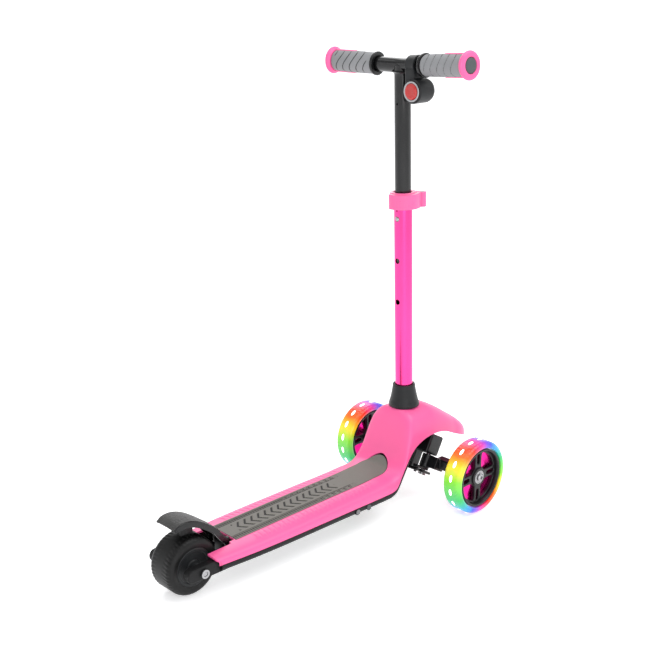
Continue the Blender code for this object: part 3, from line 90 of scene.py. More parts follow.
PAD_HALF_WIDTH = box_size("grip_pad").x / 2
PAD_REAR_AHEAD = REAR_AXLE.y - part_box("grip_pad")[1].y
PAD_FRONT_AHEAD = REAR_AXLE.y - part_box("grip_pad")[0].y
NECK = STEM_FOOT_AHEAD - 0.0725
CROWN = STEM_FOOT.z + 0.0010
WHEEL_SLOT_AHEAD = REAR_RADIUS + 0.018
FENDER_SLOT_AHEAD = WHEEL_SLOT_AHEAD + 0.0095
GAP = 0.0003

STEM_FRAME = Matrix.Translation(STEM_FOOT) @ Matrix.Rotation(-STEM_LEAN, 4, "X")
BAR_FRAME = Matrix.Translation(BAR_CENTRE) @ Matrix.Rotation(-STEM_LEAN, 4, "X")
FACING_BACK = Matrix.Rotation(-math.pi / 2, 4, "X")


# ---------------------------------------------------------------- materials

class Nodes:
    """Short names for building a shader."""

    def __init__(self, name):
        self.material = bpy.data.materials.new(name)
        self.material.use_nodes = True
        self.tree = self.material.node_tree
        self.shader = self.tree.nodes["Principled BSDF"]
        self.place = self.add("ShaderNodeTexCoord").outputs["Object"]

    def add(self, kind, **settings):
        node = self.tree.nodes.new(kind)
        for key, value in settings.items():
            setattr(node, key, value)
        return node

    def link(self, out, socket):
        self.tree.links.new(out, socket)

    def noise(self, scale, detail=4.0, roughness=0.55, stretch=None):
        node = self.add("ShaderNodeTexNoise")
        node.inputs["Scale"].default_value = scale
        node.inputs["Detail"].default_value = detail
        node.inputs["Roughness"].default_value = roughness
        place = self.place
        if stretch:
            mapping = self.add("ShaderNodeMapping")
            mapping.inputs["Scale"].default_value = stretch
            self.link(place, mapping.inputs["Vector"])
            place = mapping.outputs["Vector"]
        self.link(place, node.inputs["Vector"])
        return node.outputs["Fac"]

    def cells(self, scale, feature="F1"):
        node = self.add("ShaderNodeTexVoronoi", feature=feature)
        node.inputs["Scale"].default_value = scale
        self.link(self.place, node.inputs["Vector"])
        return node.outputs["Distance"]

    def ramp(self, factor, stops):
        node = self.add("ShaderNodeValToRGB")
        elements = node.color_ramp.elements
        while len(elements) < len(stops):
            elements.new(0.5)
        for element, (position, colour) in zip(elements, stops):
            element.position = position
            element.color = (*colour, 1.0)
        self.link(factor, node.inputs["Fac"])
        return node.outputs["Color"]

    def spread(self, factor, low, high, low_in=0.3, high_in=0.7):
        node = self.add("ShaderNodeMapRange")
        for name, value in (("From Min", low_in), ("From Max", high_in),
                            ("To Min", low), ("To Max", high)):
            node.inputs[name].default_value = value
        self.link(factor, node.inputs["Value"])
        return node.outputs["Result"]

    def maths(self, operation, first, second=None):
        node = self.add("ShaderNodeMath", operation=operation)
        for socket, value in zip(node.inputs, (first, second)):
            if isinstance(value, (int, float)):
                socket.default_value = value
            elif value is not None:
                self.link(value, socket)
        return node.outputs["Value"]

    def bump(self, height, strength, distance):
        node = self.add("ShaderNodeBump")
        node.inputs["Strength"].default_value = strength
        node.inputs["Distance"].default_value = distance
        self.link(height, node.inputs["Height"])
        self.link(node.outputs["Normal"], self.shader.inputs["Normal"])


def shade(colour, factor):
    return tuple(min(1.0, channel * factor) for channel in colour)


def surface(name, colour, roughness, grain, bump, metallic=0.0, coat=0.0, variation=0.12,
            stretch=None, detail=4.0, specular=0.5):
    """A moulded or coated surface: mottled colour, uneven gloss, fine grain and light dust."""
    made = Nodes(name)
    broad = made.noise(14.0, 3.0)
    fine = made.noise(grain, detail, 0.6, stretch)
    mixed = made.maths("ADD", made.maths("MULTIPLY", broad, 0.6), made.maths("MULTIPLY", fine, 0.4))
    tint = made.ramp(mixed, [(0.30, shade(colour, 1 - variation)), (0.50, colour),
                             (0.72, shade(colour, 1 + variation))])
    made.link(tint, made.shader.inputs["Base Color"])
    made.link(made.spread(mixed, roughness * 0.85, min(1.0, roughness * 1.18)),
              made.shader.inputs["Roughness"])
    made.shader.inputs["Metallic"].default_value = metallic
    made.shader.inputs["Coat Weight"].default_value = coat
    made.shader.inputs["Coat Roughness"].default_value = 0.18
    made.shader.inputs["Specular IOR Level"].default_value = specular
    made.bump(fine, bump, 0.0002)
    return made


RAINBOW = [
    (0.00, (0.16, 0.05, 0.55)), (0.07, (0.62, 0.03, 0.28)), (0.17, (0.85, 0.020, 0.010)),
    (0.28, (0.90, 0.13, 0.008)), (0.40, (0.85, 0.62, 0.02)), (0.50, (0.20, 0.62, 0.03)),
    (0.68, (0.02, 0.42, 0.10)), (0.78, (0.01, 0.36, 0.38)), (0.88, (0.01, 0.20, 0.72)),
    (0.93, (0.03, 0.05, 0.55)),
]
RAINBOWS_ROUND = 2.0


def lit_tyre(turn):
    """Translucent tyre lit from inside; its hue runs through the rainbow twice round."""
    made = Nodes("lit_tyre")
    split = made.add("ShaderNodeSeparateXYZ")
    made.link(made.place, split.inputs["Vector"])
    angle = made.maths("ARCTAN2", split.outputs["Y"], split.outputs["Z"])
    wobble = made.maths("MULTIPLY", made.noise(30.0, 2.0), 0.10)
    share = made.maths("MULTIPLY", angle, RAINBOWS_ROUND / math.tau)
    share = made.maths("ADD", made.maths("ADD", share, wobble), turn)
    hue = made.ramp(made.maths("FRACT", share), RAINBOW + [(0.995, RAINBOW[0][1])])
    made.link(hue, made.shader.inputs["Base Color"])
    made.link(hue, made.shader.inputs["Emission Color"])
    made.shader.inputs["Emission Strength"].default_value = 0.30
    cloudy = made.noise(90.0, 3.0)
    made.link(made.spread(cloudy, 0.16, 0.30), made.shader.inputs["Roughness"])
    made.shader.inputs["Coat Weight"].default_value = 0.2
    made.shader.inputs["Coat Roughness"].default_value = 0.10
    made.bump(made.noise(220.0, 3.0), 0.05, 0.0003)
    return made.material


def glowing(name, colour, strength):
    """A lamp's diffuser, brighter over the middle of each chip behind it."""
    made = Nodes(name)
    chips = made.cells(260.0)
    tint = made.ramp(chips, [(0.0, colour), (0.8, shade(colour, 0.86))])
    made.link(tint, made.shader.inputs["Base Color"])
    made.link(tint, made.shader.inputs["Emission Color"])
    made.shader.inputs["Emission Strength"].default_value = strength
    made.link(made.spread(chips, 0.18, 0.32, 0.0, 0.8), made.shader.inputs["Roughness"])
    return made.material


PINK = (0.86, 0.105, 0.310)
HOT_PINK = (0.88, 0.070, 0.310)

MATERIALS = {
    "pink_plastic": surface("pink_plastic", PINK, 0.36, 900.0, 0.10, variation=0.035).material,
    "pink_clamp": surface("pink_clamp", PINK, 0.30, 700.0, 0.08, coat=0.2,
                          variation=0.04).material,
    "black_plastic": surface("black_plastic", (0.006, 0.006, 0.0065), 0.46, 1500.0, 0.35,
                             specular=0.22).material,
    "black_gloss": surface("black_gloss", (0.004, 0.004, 0.0045), 0.22, 500.0, 0.05,
                           coat=0.15, specular=0.3).material,
    "black_casting": surface("black_casting", (0.006, 0.006, 0.007), 0.34, 600.0, 0.22,
                             coat=0.1, specular=0.3).material,
    "charcoal_plastic": surface("charcoal_plastic", (0.011, 0.012, 0.013), 0.42, 1400.0,
                                0.35, specular=0.28).material,
    "black_paint": surface("black_paint", (0.003, 0.003, 0.0035), 0.13, 240.0, 0.03, coat=0.25,
                           variation=0.3, specular=0.35).material,
    "grip_rubber": surface("grip_rubber", (0.220, 0.224, 0.232), 0.62, 1600.0, 0.45,
                           variation=0.16).material,
    "pad_rubber": surface("pad_rubber", (0.140, 0.131, 0.115), 0.58, 1500.0, 0.5,
                          variation=0.16).material,
    # Near-black painted shade for the bottoms of the deck pad's and the grips' grooves.
    "groove_painted_shade": surface("groove_painted_shade", (0.012, 0.012, 0.011), 0.70, 1500.0,
                             0.5).material,
    "cap_rubber": surface("cap_rubber", (0.060, 0.068, 0.072), 0.60, 1400.0, 0.4).material,
    "tyre_rubber": surface("tyre_rubber", (0.005, 0.005, 0.005), 0.42, 700.0, 0.35,
                           variation=0.25, specular=0.25).material,
    "anodised_pink": surface("anodised_pink", HOT_PINK, 0.24, 900.0, 0.06, metallic=1.0,
                             variation=0.06, stretch=(1.0, 1.0, 0.04)).material,
    "insert_pink": surface("insert_pink", (0.90, 0.012, 0.300), 0.20, 500.0, 0.12, metallic=1.0,
                           variation=0.25).material,
    "steel": surface("steel", (0.36, 0.36, 0.37), 0.24, 700.0, 0.10, metallic=1.0,
                     variation=0.08).material,
    "red_button": surface("red_button", (0.42, 0.012, 0.010), 0.26, 500.0, 0.10, coat=0.3,
                          variation=0.15).material,
    "knob_grey": surface("knob_grey", (0.16, 0.16, 0.165), 0.40, 1200.0, 0.3).material,
    "battery_wrap": surface("battery_wrap", (0.02, 0.09, 0.26), 0.30, 120.0, 0.5).material,
    "circuit": surface("circuit", (0.02, 0.16, 0.06), 0.40, 500.0, 0.5, variation=0.4).material,
    "lamp": glowing("lamp", (1.0, 1.0, 0.97), 1.6),
    "light_strip": glowing("light_strip", (0.85, 0.88, 0.85), 0.4),
}


def fender_skin():
    """Moulded, creased texture that keeps a foot from slipping."""
    made = surface("fender_skin", (0.032, 0.031, 0.030), 0.50, 520.0, 0.6, variation=0.55,
                   detail=6.0)
    creases = made.maths("ADD", made.cells(330.0), made.noise(420.0, 6.0, 0.7))
    made.bump(creases, 0.9, 0.0007)
    return made.material


MATERIALS["fender_skin"] = fender_skin()


# ---------------------------------------------------------------- making pieces


def piece(name, mesh, look, body, nodes=(), origin=None, smooth=40.0):
    """A finished piece: on its body, standing for its CAD nodes, with a finish."""
    item = bpy.data.objects.new(name, mesh)
    bpy.context.scene.collection.objects.link(item)
    zones = np.zeros(len(mesh.polygons), dtype=np.int32)
    mesh.polygons.foreach_get("material_index", zones)
    mesh.materials.clear()
    for each in [look] if isinstance(look, str) else look:
        mesh.materials.append(MATERIALS[each])
    if not isinstance(look, str):
        mesh.polygons.foreach_set("material_index", np.minimum(zones, len(look) - 1))
    mesh.shade_smooth()
    mesh.set_sharp_from_angle(angle=math.radians(smooth))
    if origin is not None:
        mesh.transform(Matrix.Translation(-Vector(origin)))
        item.location = origin
    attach(item, body)
    if nodes:
        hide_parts(*nodes)
    return item


def apply_modifiers(mesh, *specs):
    """The mesh after (kind, settings) modifiers, as a new plain mesh."""
    item = bpy.data.objects.new("work", mesh)
    bpy.context.scene.collection.objects.link(item)
    for kind, settings in specs:
        made = item.modifiers.new(kind, kind)
        for key, value in settings.items():
            setattr(made, key, value)
    bpy.context.view_layer.update()
    ready = bpy.data.meshes.new_from_object(item.evaluated_get(bpy.context.evaluated_depsgraph_get()))
    bpy.data.objects.remove(item)
    return ready


def joined(meshes):
    """Several meshes as one, keeping each part's own surface."""
    shape = bmesh.new()
    for mesh in meshes:
        shape.from_mesh(mesh)
    made = bpy.data.meshes.new("joined")
    shape.to_mesh(made)
    shape.free()
    return made


def without(mesh, tools):
    """The mesh with each tool mesh cut out of it."""
    items = []
    for tool in tools:
        item = bpy.data.objects.new("tool", tool)
        bpy.context.scene.collection.objects.link(item)
        items.append(item)
    specs = [("BOOLEAN", {"operation": "DIFFERENCE", "solver": "EXACT", "object": item})
             for item in items]
    made = apply_modifiers(mesh, *specs)
    for item in items:
        bpy.data.objects.remove(item)
    return made


def revolve(profile, matrix, steps=96, closed=True):
    """(radius, height) pairs, down the outer side, turned about the matrix's Z axis."""
    shape = bmesh.new()
    rings = []
    for radius, height in profile:
        if radius < 1e-6:
            rings.append([shape.verts.new(matrix @ Vector((0, 0, height)))] * steps)
            continue
        rings.append([
            shape.verts.new(matrix @ Vector((radius * math.cos(a), radius * math.sin(a), height)))
            for a in (math.tau * i / steps for i in range(steps))
        ])
    pairs = list(zip(rings, rings[1:])) + ([(rings[-1], rings[0])] if closed else [])
    for upper, lower in pairs:
        for i in range(steps):
            corners = [upper[i], lower[i], lower[(i + 1) % steps], upper[(i + 1) % steps]]
            corners = list(dict.fromkeys(corners))
            if len(corners) > 2:
                shape.faces.new(corners)
    bmesh.ops.recalc_face_normals(shape, faces=shape.faces[:])
    mesh = bpy.data.meshes.new("turned")
    shape.to_mesh(mesh)
    shape.free()
    return mesh


def rounded_box(size, matrix, bevel, segments=3):
    shape = bmesh.new()
    bmesh.ops.create_cube(shape, size=1.0, matrix=Matrix.Diagonal((*size, 1.0)))
    bmesh.ops.bevel(shape, geom=shape.edges[:], offset=bevel, segments=segments, profile=0.5,
                    affect="EDGES")
    bmesh.ops.transform(shape, matrix=matrix, verts=shape.verts[:])
    mesh = bpy.data.meshes.new("box")
    shape.to_mesh(mesh)
    shape.free()
    return mesh


def soft_profile(points, radius=0.0008, steps=3):
    """A profile whose corners are rounded off, so that edges catch the light."""
    made = []
    count = len(points)
    for i, (r, h) in enumerate(points):
        if r < 1e-6 or i in (0, count - 1) and points[0][0] < 1e-6:
            made.append((r, h))
            continue
        here = Vector((r, h))
        before = Vector(points[(i - 1) % count]) - here
        after = Vector(points[(i + 1) % count]) - here
        cut = min(radius, before.length * 0.45, after.length * 0.45)
        start, end = here + before.normalized() * cut, here + after.normalized() * cut
        for k in range(steps + 1):
            t = k / steps
            spot = start * (1 - t) ** 2 + here * 2 * t * (1 - t) + end * t * t
            made.append((spot.x, spot.y))
    return made


def grid(rows, zone=None):
    """Quads through rows of points; zone(row, column) picks a face's finish."""
    count = len(rows[0])
    faces = [(r * count + c, r * count + c + 1, (r + 1) * count + c + 1, (r + 1) * count + c)
             for r in range(len(rows) - 1) for c in range(count - 1)]
    mesh = bpy.data.meshes.new("grid")
    mesh.from_pydata([p for row in rows for p in row], [], faces)
    if zone:
        picked = [zone(r, c) for r in range(len(rows) - 1) for c in range(count - 1)]
        mesh.polygons.foreach_set("material_index", picked)
    return mesh


def soften(node, look, body, voxel=0.0006, rounds=6, name=None):
    """A CAD node as a casting: its edges melt into small fillets."""
    source = frame["nodes"][node].data.copy()
    source = apply_modifiers(
        source, ("REMESH", {"mode": "VOXEL", "voxel_size": voxel, "use_smooth_shade": True}),
        ("SMOOTH", {"factor": 0.5, "iterations": rounds}))
    return piece(name or node + "_cast", source, look, body, [node], smooth=60.0)


# ---------------------------------------------------------------- body outline

DECK_REAR_AHEAD = 0.018
SIDE_SEAM_HEIGHT = 0.047
DECK_TOP_REAR = 0.060
DECK_TOP_FRONT = 0.068
SEAM_GAP = 0.0009
AXLE = WHEELBASE


def world_y(ahead):
    return REAR_AXLE.y - ahead


def curve_through(knots):
    """A smooth function through (place, value) knots, flat beyond the ends."""
    places = np.array([k[0] for k in knots])
    values = np.array([k[1] for k in knots])
    slopes = np.gradient(values, places)
    steps = np.diff(values) / np.diff(places)
    for i, step in enumerate(steps):
        for j in (i, i + 1):
            limit = 3.0 * abs(step)
            if slopes[j] * step <= 0:
                slopes[j] = 0.0
            slopes[j] = min(max(slopes[j], -limit), limit)

    def value(place):
        place = min(max(place, places[0]), places[-1])
        i = min(int(np.searchsorted(places, place, side="right")) - 1, len(places) - 2)
        span = places[i + 1] - places[i]
        t = (place - places[i]) / span
        return float(
            values[i] * (1 + 2 * t) * (1 - t) ** 2 + slopes[i] * span * t * (1 - t) ** 2
            + values[i + 1] * t * t * (3 - 2 * t) + slopes[i + 1] * span * t * t * (t - 1)
        )
    return value


crown_height = curve_through([
    (DECK_REAR_AHEAD, DECK_TOP_REAR),
    (NECK - 0.280, DECK_TOP_REAR + 0.0020),
    (NECK - 0.130, DECK_TOP_FRONT - 0.0025),
    (NECK - 0.030, DECK_TOP_FRONT),
    (NECK, DECK_TOP_FRONT + 0.0030),
    (NECK + 0.014, DECK_TOP_FRONT + 0.0090),
    (NECK + 0.023, DECK_TOP_FRONT + 0.0220),
    (NECK + 0.030, DECK_TOP_FRONT + 0.0430),
    (NECK + 0.036, DECK_TOP_FRONT + 0.0640),
    (NECK + 0.042, CROWN - 0.0125),
    (NECK + 0.048, CROWN - 0.0035),
    (NECK + 0.057, CROWN),
    (AXLE - 0.014, CROWN),
    (AXLE + 0.000, CROWN - 0.0035),
    (AXLE + 0.020, CROWN - 0.0135),
    (AXLE + 0.040, CROWN - 0.0260),
    (AXLE + 0.060, CROWN - 0.0390),
    (AXLE + 0.080, CROWN - 0.0540),
    (NOSE_AHEAD - 0.010, CROWN - 0.0630),
    (NOSE_AHEAD, CROWN - 0.0740),
])

seam_height = curve_through([
    (DECK_REAR_AHEAD, SIDE_SEAM_HEIGHT),
    (NECK - 0.018, SIDE_SEAM_HEIGHT),
    (NECK, SIDE_SEAM_HEIGHT + 0.0035),
    (NECK + 0.008, SIDE_SEAM_HEIGHT + 0.0120),
    (NECK + 0.016, SIDE_SEAM_HEIGHT + 0.0215),
    (NECK + 0.032, SIDE_SEAM_HEIGHT + 0.0395),
    (AXLE - 0.060, SIDE_SEAM_HEIGHT + 0.0555),
    (AXLE - 0.040, SIDE_SEAM_HEIGHT + 0.0640),
    (AXLE - 0.010, SIDE_SEAM_HEIGHT + 0.0680),
    (AXLE + 0.015, SIDE_SEAM_HEIGHT + 0.0640),
    (AXLE + 0.045, SIDE_SEAM_HEIGHT + 0.0510),
    (AXLE + 0.075, SIDE_SEAM_HEIGHT + 0.0390),
    (NOSE_AHEAD, SIDE_SEAM_HEIGHT + 0.0300),
])

body_half_width = curve_through([
    (DECK_REAR_AHEAD, DECK_HALF_WIDTH - 0.0065),
    (NECK - 0.300, DECK_HALF_WIDTH - 0.0020),
    (NECK - 0.200, DECK_HALF_WIDTH),
    (NECK - 0.040, DECK_HALF_WIDTH),
    (NECK, DECK_HALF_WIDTH - 0.0020),
    (NECK + 0.022, DECK_HALF_WIDTH - 0.0060),
    (NECK + 0.045, DECK_HALF_WIDTH - 0.0090),
    (AXLE, DECK_HALF_WIDTH - 0.0105),
    (AXLE + 0.030, DECK_HALF_WIDTH - 0.0120),
    (AXLE + 0.050, DECK_HALF_WIDTH - 0.0140),
    (NOSE_AHEAD, DECK_HALF_WIDTH - 0.0140),
])

squareness = curve_through([
    (DECK_REAR_AHEAD, 3.6),
    (NECK + 0.030, 3.5),
    (NECK + 0.055, 2.8),
    (AXLE, 2.6),
    (AXLE + 0.050, 2.8),
    (NOSE_AHEAD, 3.4),
])

NOSE_ROUND = 0.050


def half_width(ahead):
    """Half the body's width, rounded off in plan at the nose."""
    into_nose = max(0.0, ahead - (NOSE_AHEAD - NOSE_ROUND)) / NOSE_ROUND
    return body_half_width(ahead) * math.sqrt(max(0.0, 1.0 - into_nose ** 2))


def top_of_body(ahead, side):
    """Height of the pink shell's outer surface at a point in plan."""
    share = min(1.0, abs(side) / max(half_width(ahead), 1e-6))
    power = squareness(ahead)
    seam = seam_height(ahead)
    return seam + (crown_height(ahead) - seam) * (1 - share ** power) ** (1 / power)


tray_floor = curve_through([
    (DECK_REAR_AHEAD, DECK_UNDERSIDE),
    (NECK - 0.014, DECK_UNDERSIDE),
    (NECK, DECK_UNDERSIDE + 0.0040),
    (NECK + 0.012, DECK_UNDERSIDE + 0.0135),
    (NECK + 0.032, DECK_UNDERSIDE + 0.0370),
    (NECK + 0.050, DECK_UNDERSIDE + 0.0620),
])


# ---------------------------------------------------------------- deck

RIDGE_FIRST, RIDGE_LAST = 0.098, 0.338
RIDGE_PITCH = 0.0092
RIDGE_HEIGHT = 0.00075
RIDGE_INNER, RIDGE_OUTER = 0.0315, 0.0475


def ease(value, low, high):
    """0 below low, 1 above high, smooth between."""
    share = min(1.0, max(0.0, (value - low) / (high - low)))
    return share * share * (3 - 2 * share)


def ridge(ahead, side):
    """Raised curved bars beside the pad, fading out at their ends."""
    bend = ahead + 9.0 * (side - RIDGE_INNER) ** 2
    if not RIDGE_FIRST < bend < RIDGE_LAST:
        return 0.0
    place = ((bend - RIDGE_FIRST) / RIDGE_PITCH) % 1.0
    across = ease(side, RIDGE_INNER - 0.0008, RIDGE_INNER + 0.0008)
    across *= 1 - ease(side, RIDGE_OUTER - 0.0060, RIDGE_OUTER)
    along = ease(0.5 - abs(place - 0.5), 0.08, 0.26)
    return RIDGE_HEIGHT * across * along


def shell_rows():
    """Cross-sections from the tail to the nose, one side then the other."""
    plain = list(np.linspace(DECK_REAR_AHEAD, RIDGE_FIRST, 16, endpoint=False))
    ridged = list(np.linspace(RIDGE_FIRST, RIDGE_LAST + 0.002, 340, endpoint=False))
    rest = list(np.linspace(RIDGE_LAST + 0.002, NOSE_AHEAD - NOSE_ROUND, 90, endpoint=False))
    nose = [NOSE_AHEAD - NOSE_ROUND * (1 - math.sin(math.pi / 2 * i / 26)) for i in range(26)]
    sides = 40
    rows = []
    for ahead in plain + ridged + rest + nose + [NOSE_AHEAD - 0.00001]:
        width, seam = half_width(ahead), seam_height(ahead)
        rise, power = crown_height(ahead) - seam, squareness(ahead)
        row = []
        for i in range(sides):
            angle = math.pi / 2 * i / (sides - 1)
            side = width * math.cos(angle) ** (2 / power) if i < sides - 1 else 0.0
            height = seam + rise * math.sin(angle) ** (2 / power)
            lean = 0.6 * (rise + seam - height) if ahead == plain[0] else 0.0
            row.append((side, world_y(ahead + lean), height + ridge(ahead, side)))
        rows.append(row + [(-x, y, z) for x, y, z in row[-2::-1]])
    return rows


def pad_half_width(ahead, margin):
    """Half the pad's width, with its round front end."""
    end = PAD_FRONT_AHEAD + margin
    into = max(0.0, ahead - (end - PAD_HALF_WIDTH)) / PAD_HALF_WIDTH
    return (PAD_HALF_WIDTH + margin) * math.sqrt(max(0.0, 1.0 - into ** 2))


def pad_sheet(margin, proud, cells, pattern=None, start=None):
    start = PAD_REAR_AHEAD - margin if start is None else start
    end = PAD_FRONT_AHEAD + margin
    straight = list(np.linspace(start, end - PAD_HALF_WIDTH, cells, endpoint=False))
    depths = []
    bend = [end - PAD_HALF_WIDTH * (1 - math.sin(math.pi / 2 * i / 24)) for i in range(24)]
    across = 141 if pattern else 25
    rows = []
    for ahead in straight + bend + [end - 0.00004]:
        sides = [pad_half_width(ahead, margin) * share for share in np.linspace(-1, 1, across)]
        depths.append([pattern(ahead, abs(side)) if pattern else 0.0 for side in sides])
        rows.append([(-side, world_y(ahead), top_of_body(ahead, abs(side)) + proud - depth)
                     for side, depth in zip(sides, depths[-1])])
    # Faces deep in a groove get the second finish, which is painted shade.
    return grid(rows, lambda r, c: int(depths[r][c] + depths[r + 1][c + 1] > GROOVE_DEPTH))


GROOVES = (0.0174, 0.0208, 0.0242)
GROOVE_HALF = 0.00085
GROOVE_DEPTH = 0.0009
CHEVRON_PITCH = 0.0130


def tread(ahead, side):
    """Depth of the grip pattern: lines down each side and open chevrons in the middle."""
    fade = 1 - ease(ahead, 0.300, 0.335)
    depth = 0.0
    for number, groove in enumerate(GROOVES):
        line = 1 - ease(abs(side - groove), GROOVE_HALF * 0.55, GROOVE_HALF * 1.5)
        dashes = ease(ahead, 0.180, 0.300) * (0.5 + 0.5 * math.cos(math.tau * ahead / 0.012))
        depth = max(depth, line * (1 - dashes * (0.4 + 0.3 * number)))
    if side < 0.0135 and 0.092 < ahead < 0.292:
        place = ((ahead - 0.75 * side) / CHEVRON_PITCH) % 1.0
        arm = 1 - ease(abs(place - 0.5), 0.10, 0.20)
        depth = max(depth, arm * (1 - ease(side, 0.0108, 0.0126)) * 0.9)
    return GROOVE_DEPTH * depth * fade


def make_deck():
    shell = apply_modifiers(grid(shell_rows()), ("SOLIDIFY", {
        "thickness": 0.003, "offset": -1.0, "material_offset": 1, "use_quality_normals": True}))
    slot_length = WHEEL_SLOT_AHEAD + REAR_RADIUS
    wheel_slot = rounded_box(
        (0.061, slot_length, 0.08),
        Matrix.Translation((0, world_y(WHEEL_SLOT_AHEAD - slot_length / 2), REAR_RADIUS)), 0.003)
    fender_slot = rounded_box(
        (0.050, 0.040, 0.08), Matrix.Translation((0, world_y(FENDER_SLOT_AHEAD - 0.020),
                                                  REAR_RADIUS + 0.003)), 0.002)
    seat = revolve([(0.0, 0.030), (0.0253, 0.030), (0.0253, -GAP), (0.0146, -GAP),
                    (0.0146, -0.03), (0.0, -0.03)], STEM_FRAME, closed=False)
    recess = apply_modifiers(pad_sheet(GAP, 0.004, 70), ("SOLIDIFY", {
        "thickness": 0.004 + 0.0016 + GAP, "offset": -1.0, "use_even_offset": True}))
    shell = without(shell, [wheel_slot, fender_slot, seat, recess])
    piece("deck_body", shell, ["pink_plastic", "black_plastic"], "frame", ["deck_shell"],
          smooth=34.0)
    pad = apply_modifiers(pad_sheet(0.0, 0.0008, 420, tread), ("SOLIDIFY", {
        "thickness": 0.0023, "offset": -1.0}))
    # The pad's grooves carry painted shade as their second finish.
    piece("deck_pad", pad, ["pad_rubber", "groove_painted_shade"], "frame", ["grip_pad"], smooth=50.0)


ARM_INNER, ARM_OUTER, ARM_TOP = 0.0330, 0.0462, 0.0530
ARM_REAR_BEHIND, ARM_ROOT_AHEAD = 0.027, 0.105


def make_tray():
    start = DECK_REAR_AHEAD + 0.010
    rows = []
    for ahead in np.linspace(start, NECK + 0.0539, 190):
        width = half_width(ahead) - 0.0003
        step = 0.004
        slope = (seam_height(ahead + step) - seam_height(ahead - step)) / (2 * step)
        top = seam_height(ahead) - SEAM_GAP * math.hypot(1.0, 2.0 * slope)
        floor = tray_floor(ahead)
        wall = top - floor
        corner = []
        for i in range(11):
            angle = math.pi / 2 * i / 10
            corner.append((width - 0.0130 * (1 - math.cos(angle)),
                           world_y(ahead), floor + 0.75 * wall * (1 - math.sin(angle))))
        side = [(width, world_y(ahead), top), (width, world_y(ahead), floor + 0.88 * wall), *corner]
        side += [(0.030, world_y(ahead), floor), (0.0, world_y(ahead), floor)]
        rows.append(side + [(-x, y, z) for x, y, z in side[-2::-1]])
    tub = apply_modifiers(grid(rows), ("SOLIDIFY", {"thickness": 0.003, "offset": 1.0}))
    slot_length = WHEEL_SLOT_AHEAD + 2 * REAR_RADIUS
    slot_place = (0, world_y(WHEEL_SLOT_AHEAD - slot_length / 2), REAR_RADIUS)
    slot = rounded_box((2 * ARM_INNER, slot_length, 0.12), Matrix.Translation(slot_place), 0.002)
    cover, cover_middle = box_size("battery_cover"), box_centre("battery_cover")
    seat = rounded_box((cover.x + 2 * GAP, cover.y + 2 * GAP, 2 * cover.z + 2 * GAP),
                       Matrix.Translation((0, cover_middle.y, DECK_UNDERSIDE)), 0.0002, 1)
    switch_holes = [
        revolve([(0.0, 0.012), (radius, 0.012), (radius, -0.009), (0.0, -0.009)],
                Matrix.Translation(place) @ Matrix.Rotation(-math.pi / 2, 4, "Y"), 48, False)
        for radius, place in ((0.0054, switch_place()), (0.0035, cap_place()))
    ]
    tub = without(tub, [slot, seat, *switch_holes])
    length, height = ARM_ROOT_AHEAD + ARM_REAR_BEHIND, ARM_TOP - DECK_UNDERSIDE - 0.0005
    shapes = [tub]
    for side in (-1, 1):
        place = (side * (ARM_INNER + ARM_OUTER) / 2, world_y(ARM_ROOT_AHEAD - length / 2),
                 (ARM_TOP + DECK_UNDERSIDE + 0.0005) / 2)
        shapes.append(fork_arm(length, height, ARM_OUTER - ARM_INNER, place))
    lug_height = HINGE.z + 0.0045 - DECK_UNDERSIDE - 0.001
    shapes.append(rounded_box(
        (0.0200, 0.0100, lug_height),
        Matrix.Translation((0, HINGE.y, DECK_UNDERSIDE + 0.001 + lug_height / 2)), 0.0014))
    piece("tray", joined(shapes), "black_plastic", "frame", ["chassis_tray"], smooth=32.0)


def fork_arm(length, height, width, place):
    """A bar on edge whose rear end is rounded off round the axle."""
    half, turn = length / 2, height / 2 - 0.0005
    outline = [Vector((-half, -height / 2)), Vector((half - turn, -height / 2))]
    outline += [Vector((half - turn + turn * math.sin(a), -height / 2 * math.cos(a)))
                for a in np.linspace(0.15, math.pi - 0.15, 16)]
    outline += [Vector((half - turn, height / 2)), Vector((-half, height / 2))]
    axes = Matrix(((0, 0, 1), (1, 0, 0), (0, 1, 0))).to_4x4()
    return flat_plate(outline, [], width, 0.0016, Matrix.Translation(place) @ axes)


def switch_place():
    return Vector((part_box("chassis_tray")[0].x + 0.0016, box_centre("power_button").y,
                   box_centre("power_button").z))


def cap_place():
    return Vector((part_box("chassis_tray")[0].x + 0.0016, box_centre("charge_port_cap").y,
                   box_centre("charge_port_cap").z))


# ---------------------------------------------------------------- brake

FENDER_HALF_WIDTH = 0.0215
FENDER_WALL = 0.0028


def fender_outline():
    """A smooth (back of hinge, above hinge, flange) run from the hinge over the wheel."""
    crest = 2 * REAR_RADIUS + 0.0270 - HINGE.z
    reach = REAR_AXLE.y - HINGE.y
    knots = [
        (-0.0010, 0.0078), (0.0040, 0.0150), (0.0110, 0.0230), (0.0220, 0.0370),
        (0.0360, crest - 0.0160), (0.0500, crest - 0.0070), (reach, crest - 0.0005),
        (reach + 0.0100, crest + 0.0010), (reach + 0.0210, crest - 0.0005),
        (reach + 0.0290, crest - 0.0055),
    ]
    lengths = [0.0]
    for (x0, z0), (x1, z1) in zip(knots, knots[1:]):
        lengths.append(lengths[-1] + math.hypot(x1 - x0, z1 - z0))
    back = curve_through(list(zip(lengths, [k[0] for k in knots])))
    up = curve_through(list(zip(lengths, [k[1] for k in knots])))
    total = lengths[-1]
    return [(back(s), up(s), 0.0090 - 0.0045 * ease(s, total - 0.011, total))
            for s in np.linspace(0.0, total, 110)]


